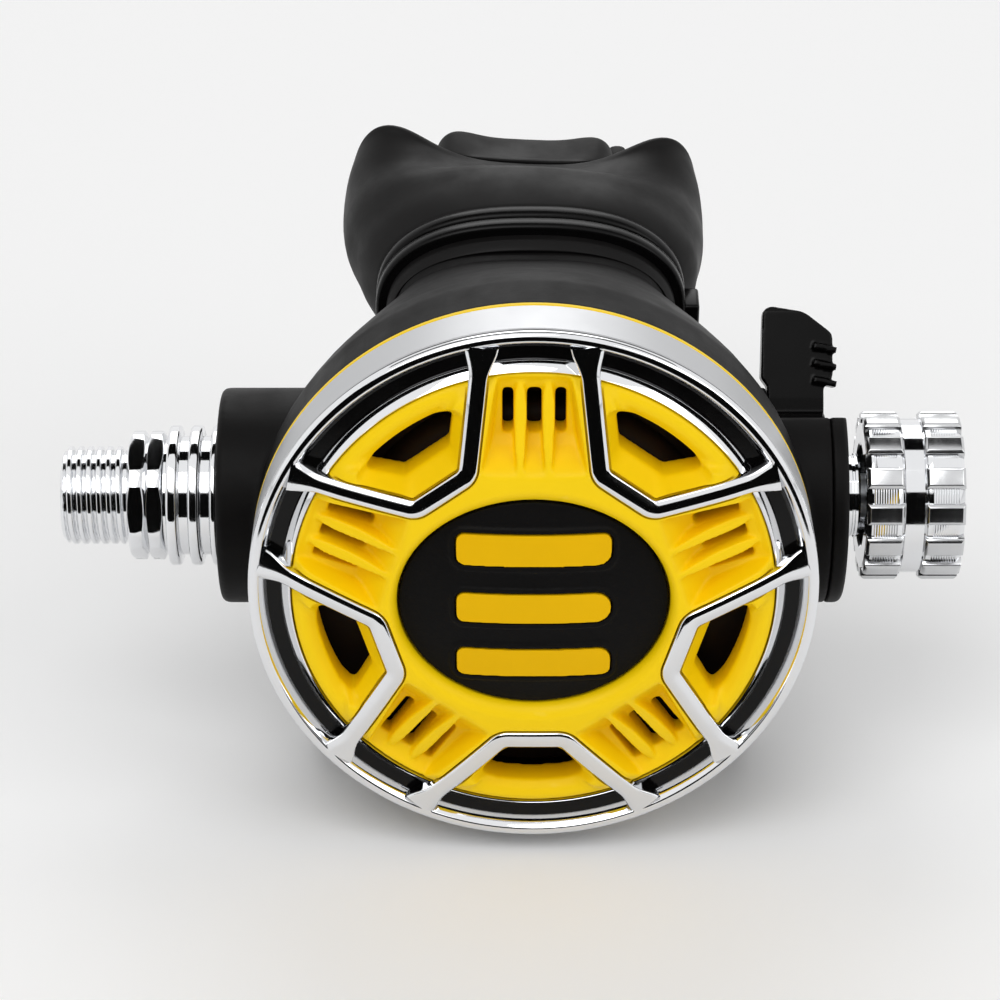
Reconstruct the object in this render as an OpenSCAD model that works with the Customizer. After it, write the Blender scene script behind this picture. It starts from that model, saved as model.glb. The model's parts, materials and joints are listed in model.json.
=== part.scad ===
// Diving regulator second stage (demand valve) with a side-entry valve barrel.
// The frame's origin is on the barrel axis at the mouth of the hose inlet: +X runs along the
// barrel, +Y points back to the diver and +Z points up. Lengths are in millimetres.

/* [Case] */
// Radius of the round case behind the cover
case_r = 39.2; // [38:0.1:41]
// Wall thickness of the case
case_wall = 2.6; // [2.2:0.1:3.2]
// Distance from the front plane of the cover ring back to the barrel axis
barrel_setback = 30.2; // [29.8:0.1:33]
// Length of the straight case wall behind the cover
wall_length = 8; // [6:0.5:9]
// Radius of the two side bosses that hold the barrel
boss_r = 15.6; // [15:0.1:17]
// How far the left boss stands out beyond the case
left_out = 5.7; // [4.8:0.1:6.8]
// How far the right boss stands out beyond the case
right_out = 5.6; // [5.2:0.1:6.8]

/* [Mouthpiece neck] */
// Half width of the oval neck
neck_w = 20.5; // [19:0.1:21.5]
// Half height of the oval neck
neck_h = 13; // [12:0.1:14]
// Distance from the barrel axis back to the root of the neck
neck_back = 22; // [20:0.5:25]
// Height of the root of the neck above the barrel axis
neck_up = 15.8; // [14:0.1:17]
// Upward tilt of the neck in degrees
neck_tilt = 10; // [5:1:14]
// Length of the neck
neck_length = 12; // [11:0.5:14]

/* [Mouthpiece] */
// Half width of the flange that sits behind the lips
flange_w = 26.7; // [25.5:0.1:28]
// Half height of the flange before its long edges dip in the middle
flange_h = 19; // [17:0.5:20]
// Distance along the neck from its root to the flange
flange_back = 32; // [30:0.5:34]
// How far the sides of the flange sweep back
flange_sweep = 6.5; // [4:0.5:8]
// Roll of the rubber mouthpiece on the neck in degrees
mouthpiece_roll = 3; // [1:1:5]
// Thickness of the rubber sleeve on the neck
sleeve_t = 1.4; // [1.2:0.1:1.8]
// Width of the tie that clamps the sleeve
tie_w = 6; // [5:0.5:7]

/* [Cover] */
// Depth of the chrome ring's side wall
ring_depth = 9.2; // [8.8:0.1:9.6]
// Thickness of the yellow rim between ring and case
rim_t = 1; // [0.8:0.1:1.2]
// Height of the dome of chrome loops above the ring's front plane
dome_h = 5.65; // [5:0.05:6]
// Radius of curvature of that dome
dome_r = 141; // [130:1:160]
// Thickness of the chrome loops
loop_t = 2; // [1.6:0.1:2.2]
// Depth of the window floors and gap floors behind the front plane
floor_depth = 2.6; // [2.2:0.1:3]

/* [Purge button] */
// Half width of the oval purge pad
pad_w = 18.5; // [17.5:0.1:18.8]
// Half height of the oval purge pad
pad_h = 15.5; // [15:0.1:16]
// Height of the pad's crown above the ring's front plane
pad_crown = 4.3; // [4:0.1:4.6]
// Radius of curvature of the pad
pad_curve = 72; // [65:1:90]
// Length of the three raised bars
bar_l = 21.5; // [19:0.5:23]
// Height of each raised bar
bar_h = 4.7; // [4:0.1:5.4]
// Distance from one raised bar to the next
bar_pitch = 8.7; // [8:0.1:9]
// Travel of the purge button
purge_travel = 2.6; // [2:0.1:2.8]
// Wire thickness of the purge spring
purge_wire = 0.5; // [0.4:0.05:0.5]

/* [Inlet] */
// Outside diameter of the hose thread
thread_d = 14.29; // [14:0.01:14.5]
// Length of the hose thread
thread_l = 9.7; // [9:0.1:11]
// Bore that takes the nose of the hose fitting
nose_d = 9.2; // [8.6:0.1:9.6]
// Depth of the nose bore
nose_depth = 6; // [5:0.5:8]
// Width across the flats of the hexagon
hex_af = 17.5; // [17:0.1:18.2]
// Diameter over the rounded corners of the hexagon
hex_round_d = 19.3; // [18.9:0.1:19.8]
// Length of the hexagon
hex_l = 5.2; // [4.8:0.1:6]
// Diameter of the cooling fins
fin_d = 20.4; // [19.6:0.1:21.6]
// Thickness of each cooling fin
fin_t = 1.2; // [1:0.1:1.4]
// Distance from one cooling fin to the next
fin_pitch = 3.1; // [2.8:0.1:3.3]
// Number of cooling fins
fin_count = 3; // [2:1:3]
// Diameter of the core between the fins
fin_core_d = 17.3; // [16:0.1:17.6]

/* [Valve] */
// Outside diameter of the valve barrel
barrel_d = 17; // [16.6:0.1:17.2]
// Bore of the valve chamber
chamber_d = 11.2; // [10.8:0.1:11.4]
// Bore that the inlet connector screws into
shank_d = 12; // [11.6:0.1:12.2]
// Diameter of the poppet stem
stem_d = 4.4; // [4:0.1:4.6]
// Distance from the cover axis to the pivot of the demand lever
pivot_x = 17; // [16:0.5:18]
// Wire thickness of the poppet spring
poppet_wire = 0.8; // [0.7:0.05:0.9]

/* [Knob] */
// Diameter of the knob
knob_d = 24.3; // [23:0.1:26]
// Length of the knob's inner land
knob_inner_l = 5.35; // [5:0.05:6]
// Length of the knob's outer land
knob_outer_l = 5.65; // [5:0.05:6.5]
// Width of the waist between the two lands
waist_w = 3; // [2:0.1:3.6]
// Diameter of that waist
waist_d = 22.4; // [20:0.1:22.8]
// Number of grip pads around each land
pad_count = 14; // [12:1:16]
// Gap between the packing nut and the knob's front face
knob_gap = 0.4; // [0.3:0.1:0.8]
// Travel of the knob when it is screwed in
knob_travel = 2.4; // [1:0.1:2.6]
// Diameter of the chrome packing nut's collar
collar_d = 12.3; // [11.8:0.1:13]
// Length of that collar outside the boss
collar_l = 2.5; // [2:0.1:3]

/* [Venturi lever] */
// Radius of the lever's hub
hub_r = 12.1; // [11.8:0.1:12.3]
// Length of the hub along the barrel
hub_l = 8.2; // [7.6:0.1:8.6]
// Distance from the barrel axis to the flat on the right boss
flat_up = 11; // [10.8:0.1:11.2]
// Distance from the barrel axis to the tip of the lever
lever_reach = 27.6; // [25:0.1:30]
// Thickness of the lever
lever_t = 4; // [3.4:0.1:4.2]
// Lean of the lever behind the vertical in degrees
lever_lean = 27; // [20:1:30]
// Swing of the lever each way in degrees
lever_swing = 22; // [10:1:22]

/* [Exhaust] */
// Radius of the exhaust valve disc
exhaust_r = 12.8; // [12:0.1:13.2]
// Half length of the exhaust tee from outlet to outlet
tee_l = 33; // [28:0.5:36]
// Half width of the exhaust tee at its middle
tee_w = 16.5; // [16:0.1:17.5]
// Wall thickness of the exhaust tee
tee_wall = 1.7; // [1.5:0.1:2]

/* [Hidden] */

$fn = 96;

// Clearances
seat = 0.05;    // between parts that are screwed or pressed together
run = 0.08;     // between a turning or sliding part and its bore
free = 0.3;     // between parts that only pass by each other
eps = 0.01;     // overlap of cutting tools

// Distances along the barrel, measured from the cover axis
boss_left = case_r + left_out;
boss_right = case_r + right_out;
inlet_reach = boss_left + 0.1 + fin_stack() + 0.5 + hex_l + thread_l;
function fin_stack() = 2 * fin_pitch + fin_t;

// Cover stack, as heights in front of the ring's front plane
cover_r = case_r + 0.2;
skirt_r = cover_r - 1.4;               // outside of the yellow skirt
skirt_in = skirt_r - 1.3;              // inside of the yellow skirt
collar_r = skirt_in - 0.2;             // outside of the case collar
rim_h = -ring_depth;                   // front of the yellow rim
case_front = -ring_depth - rim_t;      // front shoulder of the case
plate_back = -floor_depth - 2.6;       // back of the cover's floor plate
collar_front = plate_back - 0.2;
shelf_h = case_front + 0.2;            // shelf that the diaphragm lies on
membrane_t = 1.4;
clamp_back = shelf_h + membrane_t;
trough_r = cover_r - 4.4;              // inner edge of the chrome ring
cover_wall = trough_r - seat;           // outer wall of the yellow cover's face
window_out = trough_r - 0.7;
seat_r = collar_r - 2.2;               // bore of the case collar
bead_in = seat_r - 3.2;                // inner edge of the shelf

// Purge button stack
pad_bottom = 0.5;
core_bottom = -0.5;
orifice_r = 3.95;                         // the orifice over its O-ring lands
orifice_groove_r = 3.15;
orifice_groove = [3, 4.4];                // its groove, measured from the web's outer face
well_floor = plate_back + 0.3;
well_t = 1.3;
plate_front = well_floor - well_t - 1.7;
plate_t = 1;
plate_r = 15;
wear_r = 6;
wear_h = plate_front - plate_t - 0.7;
guide_r = 5;

// Case stations along Y
taper_ease = 1.1;                      // keeps the case round a little longer than a straight taper
function y_of(h) = -barrel_setback - h;
front_y = y_of(case_front);
shoulder_y = front_y + wall_length;

// Barrel stations along X
web_x = -5;                            // right end of the orifice's web
web_l = 7;
edge_x = -2.2;                         // sealing edge of the orifice
head_l = 3.6;
nut_x = pivot_x + 0.65;
nut_l = 2.4;
spring_x = nut_x + nut_l + 0.15;
pad_l = 2.8;
foot_l = 2.4;
barrel_end = boss_right - 0.8;
nut_shank_l = 8;
pad_x = barrel_end - nut_shank_l - 1.6 - foot_l - pad_l;
collar_x = barrel_end;
knob_x = boss_right + collar_l + knob_gap;
knob_l = knob_inner_l + waist_w + knob_outer_l;
screw_r = 3.2;

// Right boss
cap_t = 2.3;
hub_x = boss_right - cap_t - 0.2 - hub_l;
hub_bore = hub_r + free;
vane_t = 1;
vane_r = barrel_d / 2 + run + vane_t;

// Exhaust port, on the underside of the case's taper
port_t = 0.42;
port = under_point(port_t);
port_run = under_point(port_t + 0.25) - under_point(port_t - 0.25);
port_turn = atan2(port_run[1], port_run[0]);
port_boss_r = exhaust_r + 4.2;
port_lift = 1.5;
port_skin_gap = 0.3;

// Demand lever
pivot_y = -barrel_d / 2 + 2.1;
pivot_r = 0.8;
pivot_half = 4.8;
slot_half = 3.9;
foot_y = -2.8;                         // inner end of the lever's feet
tip_y = y_of(wear_h) + 0.2;

// Y and Z of the case's underside at station t of its taper
function under_point(t) = let (
        mix = pow(t, taper_ease),
        v = case_r * (1 - mix) + neck_h * mix)
    [shoulder_y + (neck_back - shoulder_y) * t + v * sin(neck_tilt * t),
        neck_up * t - v * cos(neck_tilt * t)];

window_turns = [for (i = [0:4]) 270 + 72 * i];
gap_turns = [for (i = [0:4]) 90 + 72 * i];

// ---------- outlines and lofts ----------

function unit(v) = v / norm(v);

// A closed outline whose corners are rounded by the given radii
function rounded(pts, radii, steps = 4) = [
    for (i = [0:len(pts) - 1])
        let (n = len(pts),
             p = pts[i],
             a = unit(pts[(i + n - 1) % n] - p),
             b = unit(pts[(i + 1) % n] - p),
             half = acos(a * b) / 2,
             r = radii[i],
             c = p + unit(a + b) * r / sin(half),
             s = p + a * r / tan(half) - c,
             e = p + b * r / tan(half) - c,
             a0 = atan2(s[1], s[0]),
             d = atan2(s[0] * e[1] - s[1] * e[0], s * e))
        for (k = [0:steps])
            c + r * [cos(a0 + d * k / steps), sin(a0 + d * k / steps)]
];

// A superellipse with half width w, half height h and squareness n
function oval(w, h, n = 2, count = 48) = [
    for (i = [0:count - 1])
        let (a = 360 * i / count, c = cos(a), s = sin(a))
            [w * sign(c) * pow(abs(c), 2 / n), h * sign(s) * pow(abs(s), 2 / n)]
];

function side_faces(n, r0, r1) = [
    for (j = [0:n - 1])
        let (k = (j + 1) % n)
            for (f = [[r0 * n + j, r1 * n + k, r0 * n + k], [r0 * n + j, r1 * n + j, r1 * n + k]]) f
];

// A solid skinned over a list of rings, with flat ends; the rings turn about their advance
module loft(rings) {
    n = len(rings[0]);
    m = len(rings);
    sides = [for (i = [0:m - 2]) each side_faces(n, i, i + 1)];
    first = [for (j = [0:n - 1]) j];
    last = [for (j = [n - 1:-1:0]) (m - 1) * n + j];
    polyhedron([for (r = rings) each r], concat(sides, [first, last]), convexity = 6);
}

// A tube skinned over rings that close on themselves
module loft_loop(rings) {
    n = len(rings[0]);
    m = len(rings);
    polyhedron([for (r = rings) each r],
        [for (i = [0:m - 1]) each side_faces(n, i, (i + 1) % m)], convexity = 8);
}

// A coil about Z that starts at z = 0, as one unbroken tube with flat ends
coil_steps = 8;
coil_sides = 6;
function coil_rings(mean_r, wire, height, turns) = [
    for (i = [0:turns * coil_steps])
        let (a = 360 * i / coil_steps, z = wire / 2 + (height - wire) * i / (turns * coil_steps))
            [for (j = [0:coil_sides - 1])
                let (b = 360 * j / coil_sides, r = mean_r + wire / 2 * cos(b))
                    [r * cos(a), r * sin(a), z - wire / 2 * sin(b)]]
];
function coil_gap(rings, turns) = min([
    for (i = [0:(turns - 1) * coil_steps])
        for (j = [0:coil_sides - 1])
            for (k = [0:coil_sides - 1])
                norm(rings[i][j] - rings[i + coil_steps][k])
]);

module coil(name, mean_r, wire, height, turns) {
    rings = coil_rings(mean_r, wire, height, turns);
    echo(str(name, " least gap to itself"), coil_gap(rings, turns));
    loft(rings);
}

// ---------- frames ----------

// Barrel frame: the cover axis crosses the barrel axis at this origin
module barrel_frame() {
    translate([inlet_reach, 0, 0]) children();
}

// Cover frame: z runs forward from the ring's front plane, x right and y up
module cover_frame() {
    barrel_frame() translate([0, -barrel_setback, 0]) rotate([90, 0, 0]) children();
}

// A lathe-turned piece on the barrel: its z runs along +X from the cover axis
module along_barrel() {
    barrel_frame() rotate([0, 90, 0]) children();
}

// Neck frame: z runs out along the neck and y points down
module neck_frame() {
    barrel_frame() translate([0, neck_back, neck_up]) rotate([neck_tilt - 90, 0, 0]) children();
}

// Exhaust frame: z runs out of the exhaust port
module exhaust_frame() {
    barrel_frame() translate([0, port[0], port[1]]) rotate([port_turn - 180, 0, 0])
        translate([0, 0, port_lift]) children();
}

// Lever frame: seen along the barrel, +z points up along the leaning lever
module lever_frame() {
    barrel_frame() rotate([-lever_lean, 0, 0]) children();
}

module tube(r_out, r_in, z0, z1) {
    difference() {
        translate([0, 0, z0]) cylinder(r = r_out, h = z1 - z0);
        translate([0, 0, z0 - 1]) cylinder(r = r_in, h = z1 - z0 + 2);
    }
}

module rod(r, z0, z1) {
    translate([0, 0, z0]) cylinder(r = r, h = z1 - z0);
}

// ---------- case ----------

case_points = 60;
case_rings = 8;
lip_t = 0.5;
lip_l = 1.6;

// One ring of the case, round at t = 0 and oval at t = 1, centred at (yc, zc)
function case_ring(t, inset, yc, zc) = let (mix = pow(t, taper_ease)) [
    for (j = [0:case_points - 1])
        let (a = -360 * j / case_points,
             circle_x = (case_r - inset) * cos(a),
             circle_v = (case_r - inset) * sin(a),
             neck = oval(neck_w - inset * 0.85, neck_h - inset * 0.85, 2.7, case_points)[j],
             x = circle_x + (neck[0] - circle_x) * mix,
             v = circle_v - (neck[1] + circle_v) * mix)
            [x, yc - v * sin(neck_tilt * t), zc + v * cos(neck_tilt * t)]
];

function neck_ring(inset, l) =
    case_ring(1, inset, neck_back + l * cos(neck_tilt), neck_up + l * sin(neck_tilt));

function taper_rings(inset) = [
    for (i = [0:case_rings])
        let (t = i / case_rings)
            case_ring(t, inset, shoulder_y + (neck_back - shoulder_y) * t, neck_up * t)
];

module case_body() {
    barrel_frame() loft(concat([case_ring(0, 0, front_y, 0)], taper_rings(0),
        [neck_ring(0, neck_length - lip_l - 0.2), neck_ring(-lip_t, neck_length - lip_l),
            neck_ring(-lip_t, neck_length - 0.4), neck_ring(-0.1, neck_length)]));
}

module case_cavity() {
    barrel_frame() loft(concat([case_ring(0, case_wall, front_y + 2.2, 0)], taper_rings(case_wall),
        [neck_ring(case_wall, neck_length + 1)]));
}

module lever_flat(x0, x1) {
    lever_frame() translate([x0, -boss_r - 1, flat_up]) cube([x1 - x0, 2 * boss_r + 2, boss_r]);
}

module case() {
    color("#26262a") difference() {
        union() {
            case_body();
            cover_frame() rod(collar_r, case_front - 1, collar_front);
            along_barrel() intersection() {
                rod(boss_r, -boss_left, -20);
                translate([0, 0, -boss_left]) boss_round();
            }
            difference() {
                along_barrel() rod(boss_r, 20, boss_right - cap_t);
                lever_flat(hub_x - 0.2, boss_right);
            }
            exhaust_frame() rod(port_boss_r, -11, 0);
        }
        // room for the works
        case_cavity();
        cover_frame() rod(bead_in, case_front - 3, 0);
        cover_frame() rod(seat_r, shelf_h, 0);
        // barrel bores, and the lever's room in the right boss
        along_barrel() rod(barrel_d / 2 + seat, -boss_left - 1, 0);
        along_barrel() rod(vane_r + run, 0, boss_right);
        along_barrel() rod(hub_bore, hub_x - 0.2, boss_right);
        lever_slot();
        // exhaust port
        exhaust_frame() rod(exhaust_r - 1.2, -12, -2.2);
        exhaust_frame() port_windows();
    }
}

// Rounded outer edge of a boss, as a bell that starts at z = 0
module boss_round() {
    edge = 1;
    rotate_extrude() polygon(concat([[0, 0]],
        [for (a = [-90:15:0]) [boss_r - edge + edge * cos(a), edge + edge * sin(a)]],
        [[boss_r, 2 * boss_r], [0, 2 * boss_r]]));
}

// Opening in the right boss that the lever swings in
module lever_slot() {
    open = lever_swing + 11;
    reach = boss_r + 3;
    lever_frame() translate([hub_x - 0.2, 0, 0]) rotate([90, 0, 90])
        linear_extrude(hub_l + 0.5)
            polygon([[0, 0], [-reach * tan(open), reach], [reach * tan(open), reach]]);
}

// Four windows between the spokes of the exhaust seat
module port_windows() {
    spoke = 1.8;
    difference() {
        rod(exhaust_r - 1.2, -3, 1);
        rod(3.2, -4, 2);
        for (a = [45, 135]) rotate([0, 0, a]) translate([-exhaust_r, -spoke / 2, -4])
            cube([2 * exhaust_r, spoke, 6]);
    }
    rod(1.5 + seat, -4, 1);
}

module side_cap() {
    color("#232326") difference() {
        along_barrel() intersection() {
            tube(boss_r, barrel_d / 2 + seat, boss_right - cap_t, boss_right);
            translate([0, 0, boss_right]) mirror([0, 0, 1]) boss_round();
        }
        lever_flat(0, boss_right + 1);
    }
}

// ---------- cover ----------

function polar(r, turn) = r * [cos(turn), sin(turn)];

// Corners of one chrome loop, from the button's edge to the ring, with its window along +x
loop_outer = [[pad_w + 1.5, 5], polar(cover_r + 0.14, 27.7)];
loop_inner = [[pad_w + 3.8, 3.8], polar(cover_r + 0.83, 24.5)];

module loop_outline(grow = 0) {
    difference() {
        polygon(rounded([[loop_outer[1][0], -loop_outer[1][1] - grow],
            [loop_outer[0][0] - grow, -loop_outer[0][1] - grow * 0.4],
            [loop_outer[0][0] - grow, loop_outer[0][1] + grow * 0.4],
            [loop_outer[1][0], loop_outer[1][1] + grow]], [0.5, 2.4, 2.4, 0.5]));
        polygon(rounded([[loop_inner[1][0], -loop_inner[1][1] + grow],
            [loop_inner[0][0] + grow, -loop_inner[0][1] + grow * 0.4],
            [loop_inner[0][0] + grow, loop_inner[0][1] - grow * 0.4],
            [loop_inner[1][0], loop_inner[1][1] - grow]], [0.5, 1.4, 1.4, 0.5]));
    }
}

// The part of a tall prism that lies inside the dome lowered by drop
module under_dome(drop) {
    translate([0, 0, dome_h - drop - dome_r]) sphere(r = dome_r, $fn = 200);
}

module ring_body() {
    r = cover_r;
    rotate_extrude() polygon([
        [skirt_r + 0.1, -ring_depth], [r, -ring_depth], [r, -0.9], [r - 0.25, -0.3],
        [r - 0.8, 0.1], [r - 1.4, 0.1], [r - 1.9, -0.4], [r - 2.3, -1.5],
        [trough_r, -2], [trough_r, -3], [skirt_r + 0.1, -3]]);
}

module cover_ring() {
    color("#d9dadd") cover_frame() {
        ring_body();
        intersection() {
            difference() {
                under_dome(0);
                under_dome(loop_t);
            }
            rod(cover_r - 1.6, -4, dome_h + 1);
            for (a = window_turns) rotate([0, 0, a]) linear_extrude(20, center = true) loop_outline();
        }
    }
}

// Funnel from a window's edge down to its hole, with the window's centre line along +x
hole_r = window_out - 3.7;
hole_in = [hole_r - 5.4, 3.2];
hole_mid = [hole_r - 1.6, 6.6];
hole_end = 5.6;
edge_in = loop_inner[0] + [-0.15, 0.1];
edge_slope = (loop_inner[1][1] - loop_inner[0][1]) / (loop_inner[1][0] - loop_inner[0][0]);
edge_end_x = line_on_circle(edge_in, edge_slope, window_out);
edge_end = edge_in[1] + (edge_end_x - edge_in[0]) * edge_slope;

// Distance x at which a sloping line through p meets the circle of radius r
function line_on_circle(p, slope, r) = let (
        c = p[1] - slope * p[0],
        q = 1 + slope * slope)
    (sqrt(q * r * r - c * c) - slope * c) / q;

// One ring of the funnel: inner corner, a corner on the side, and an arc up to y = end
function funnel_ring(p, mid, r, end, z) = let (turn = asin(end / r)) concat(
    [[p[0], -p[1], z], [mid[0], -mid[1], z]],
    [for (k = [-4:4]) [r * cos(turn * k / 4), r * sin(turn * k / 4), z]],
    [[mid[0], mid[1], z], [p[0], p[1], z]]);

module window_cut() {
    edge_mid = (edge_in + [edge_end_x, edge_end]) / 2;
    loft([funnel_ring(hole_in, hole_mid, hole_r, hole_end, plate_back - 1),
        funnel_ring(hole_in, hole_mid, hole_r, hole_end, -floor_depth),
        funnel_ring(edge_in, edge_mid, window_out, edge_end, -1),
        funnel_ring(edge_in, edge_mid, window_out, edge_end, dome_h + 1)]);
}

// Pocket of one ribbed gap, with its ribs left standing and three slots in its floor
gap_hub_r = pad_w + 0.5;
gap_floor_r = [gap_hub_r + 5, window_out - 2.5];
gap_half = 5;
rib_x = 1.8;
rib_t = 1.6;

module gap_cut() {
    top = dome_h + 1;
    intersection() {
        rotate([90, 0, 0]) linear_extrude(20, center = true)
            polygon([[gap_hub_r, top], [gap_hub_r, dome_h - 1.6], [gap_floor_r[0], -floor_depth],
                [gap_floor_r[1], -floor_depth], [window_out - 0.6, 0.6], [window_out - 0.2, top]]);
        linear_extrude(30, center = true)
            polygon([[gap_hub_r - 1, -gap_half - 1.6], [window_out - 0.9, -gap_half], [cover_r, -gap_half],
                [cover_r, gap_half], [window_out - 0.9, gap_half], [gap_hub_r - 1, gap_half + 1.6]]);
        difference() {
            translate([gap_hub_r - 9, -10, -10]) cube([cover_r, 20, 20]);
            for (s = [-1, 1]) translate([0, s * rib_x, 0]) rotate([90, 0, 0])
                linear_extrude(rib_t, center = true)
                    polygon([[gap_hub_r - 2, -floor_depth - 1], [gap_hub_r - 2, dome_h - 1.3],
                        [gap_hub_r + 0.6, dome_h - 1.5], [gap_floor_r[1] - 0.4, 0.7 - floor_depth],
                        [gap_floor_r[1] - 0.4, -floor_depth - 1]]);
        }
    }
    slot_l = 6.4;
    for (x = [[-1, 1], [rib_x + rib_t / 2, 4.4], [-4.4, -rib_x - rib_t / 2]])
        translate([gap_floor_r[1] - 0.8 - slot_l, x[0], plate_back - 1]) cube([slot_l, x[1] - x[0], dome_h]);
}

function well_ring(grow, z) = [
    for (p = oval(pad_w + free + grow, pad_h + free + grow)) [p[0], p[1], z]
];

module front_cover() {
    lip = 3;
    color("#ffd400") cover_frame() difference() {
        union() {
            rotate_extrude() polygon([[0, plate_back], [skirt_in, plate_back],
                [skirt_in, case_front], [cover_r, case_front], [cover_r, rim_h - seat],
                [skirt_r, rim_h - seat], [skirt_r, -3.1], [cover_wall, -3.1], [cover_wall, 0.5],
                [cover_wall - 0.2, 0.7], [0, 0.7]]);
            intersection() {
                under_dome(0.5);
                rod(cover_wall - 0.3, -2, dome_h);
            }
            rod(pad_w + 2.4, well_floor - well_t, plate_back + 1);
        }
        // channels that the chrome loops lie in
        for (a = window_turns) rotate([0, 0, a]) difference() {
            translate([0, 0, -3]) linear_extrude(20) loop_outline(seat);
            under_dome(loop_t + seat);
        }
        for (a = window_turns) rotate([0, 0, a]) window_cut();
        for (a = gap_turns) rotate([0, 0, a]) gap_cut();
        // well of the purge button with its dished lip, and the stem's guide
        loft([well_ring(0, well_floor), well_ring(0, 1.7), well_ring(lip, dome_h + 1)]);
        rod(guide_r + run, -20, 0);
    }
}

// ---------- purge button ----------

module under_pad(rise) {
    translate([0, 0, pad_crown + rise - pad_curve]) sphere(r = pad_curve, $fn = 200);
}

// Outline of raised bar number i, from 1 at the top to -1 at the bottom
module bar_outline(i, grow) {
    l = bar_l / 2 + grow;
    h = bar_h / 2 + grow;
    corner = 1.3 + grow;
    low = i == 1 ? 2 : corner;
    high = i == -1 ? 2 : corner;
    end = h - 0.05;
    translate([0, i * bar_pitch]) polygon(rounded([[-l, -h], [l, -h], [l, h], [-l, h]],
        i == 0 ? [corner, end, end, corner] : [corner, low, high, corner]));
}

module purge_pad() {
    rim = 0.7;
    color("#1f1f22") cover_frame() difference() {
        union() {
            intersection() {
                translate([0, 0, pad_bottom]) linear_extrude(6) polygon(oval(pad_w, pad_h));
                under_pad(0);
            }
            for (i = [-1:1]) intersection() {
                translate([0, 0, pad_bottom]) linear_extrude(6) bar_outline(i, rim);
                under_pad(0.25);
            }
        }
        for (i = [-1:1]) linear_extrude(12, center = true) bar_outline(i, seat);
    }
}

module purge_core() {
    color("#f5c800") cover_frame() {
        translate([0, 0, core_bottom]) linear_extrude(pad_bottom - core_bottom)
            polygon(oval(pad_w - 1.2, pad_h - 1.2));
        for (i = [-1:1]) intersection() {
            translate([0, 0, core_bottom]) linear_extrude(8) bar_outline(i, 0);
            under_pad(0.5);
        }
        rod(guide_r, plate_front + free, core_bottom + eps);
    }
}

module purge_spring() {
    color("#b8bcc2") cover_frame() translate([0, 0, well_floor + seat])
        coil("purge spring", guide_r + 1.6, purge_wire, core_bottom - well_floor - 2 * seat, 2);
}

// ---------- diaphragm ----------

module clamp_ring() {
    color("#e8e8e4") cover_frame() tube(seat_r - 0.15, bead_in + 0.4, clamp_back, plate_back);
}

module diaphragm() {
    t = 0.8;
    roll_r = 3.2;
    roll_c = bead_in - 7.7;
    mid = shelf_h;
    color("#3a3a3e") cover_frame() rotate_extrude() {
        polygon([[bead_in, mid], [seat_r - 0.1, mid], [seat_r - 0.1, mid + membrane_t],
            [bead_in + 0.6, mid + membrane_t], [bead_in, mid + t]]);
        polygon(concat(
            [[9, mid], [roll_c - roll_r, mid]],
            [for (a = [180:-15:0]) [roll_c + roll_r * cos(a), mid - roll_r * sin(a)]],
            [[bead_in + 0.1, mid], [bead_in + 0.1, mid + t]],
            [for (a = [0:15:180]) [roll_c + (roll_r - t) * cos(a), mid + t - roll_r * sin(a)]],
            [[9, mid + t]]));
    }
}

module diaphragm_plate() {
    color("#d8d8d2") cover_frame() {
        rod(plate_r, plate_front - plate_t, plate_front);
        rod(wear_r, wear_h, plate_front - plate_t + eps);
    }
}

// ---------- valve barrel ----------

module valve_barrel() {
    color("#c9ccd0") difference() {
        along_barrel() rod(barrel_d / 2, -boss_left + 0.05, barrel_end);
        along_barrel() rod(shank_d / 2 + seat, -boss_left - 1, web_x - web_l);
        along_barrel() rod(4, web_x - web_l - 1, web_x + 1);
        along_barrel() rod(chamber_d / 2, web_x, barrel_end + 1);
        barrel_frame() translate([pivot_x - 6, -barrel_d, -slot_half])
            cube([9.5, barrel_d + foot_y - 0.2, 2 * slot_half]);
        barrel_frame() translate([pivot_x, pivot_y, 0]) cylinder(r = pivot_r + run, h = 12, center = true);
        barrel_frame() translate([0, 2, -3.5]) cube([9, barrel_d, 7]);
    }
}

module inlet_connector() {
    mouth = -inlet_reach;
    hex_x = mouth + thread_l;
    core_x = hex_x + hex_l;
    shank_end = web_x - web_l - 1.8;
    r = thread_d / 2;
    cham = 0.5;
    color("#dfe1e4") along_barrel() difference() {
        union() {
            rotate_extrude() polygon([[0, mouth], [r - cham, mouth], [r, mouth + cham], [r, hex_x - 0.9],
                [r - 1, hex_x - 0.5], [r - 1, hex_x + eps], [0, hex_x + eps]]);
            hex_body(hex_x, hex_l);
            rod(8.2, core_x - eps, core_x + 0.45);
            rod(shank_d / 2, core_x, shank_end);
        }
        rod(nose_d / 2, mouth - 1, mouth + nose_depth);
        rod(3.2, mouth, shank_end + 1);
        // groove of the O-ring
        translate([0, 0, -boss_left + 5]) difference() {
            rod(shank_d / 2 + 1, 0, 1.1);
            rod(shank_d / 2 - 0.9, -1, 2);
        }
    }
}

// Hexagon in two lands with turned corners and a V groove between them
module hex_body(x0, l) {
    r = hex_round_d / 2;
    intersection() {
        translate([0, 0, x0]) rotate([0, 0, -12]) cylinder(r = hex_af / sqrt(3), h = l, $fn = 6);
        rotate_extrude() polygon([[0, x0], [r - 0.9, x0], [r, x0 + 0.5], [r, x0 + l / 2 - 0.45],
            [r - 1.3, x0 + l / 2], [r, x0 + l / 2 + 0.45], [r, x0 + l - 0.5], [r - 0.9, x0 + l],
            [0, x0 + l]]);
    }
}

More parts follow.
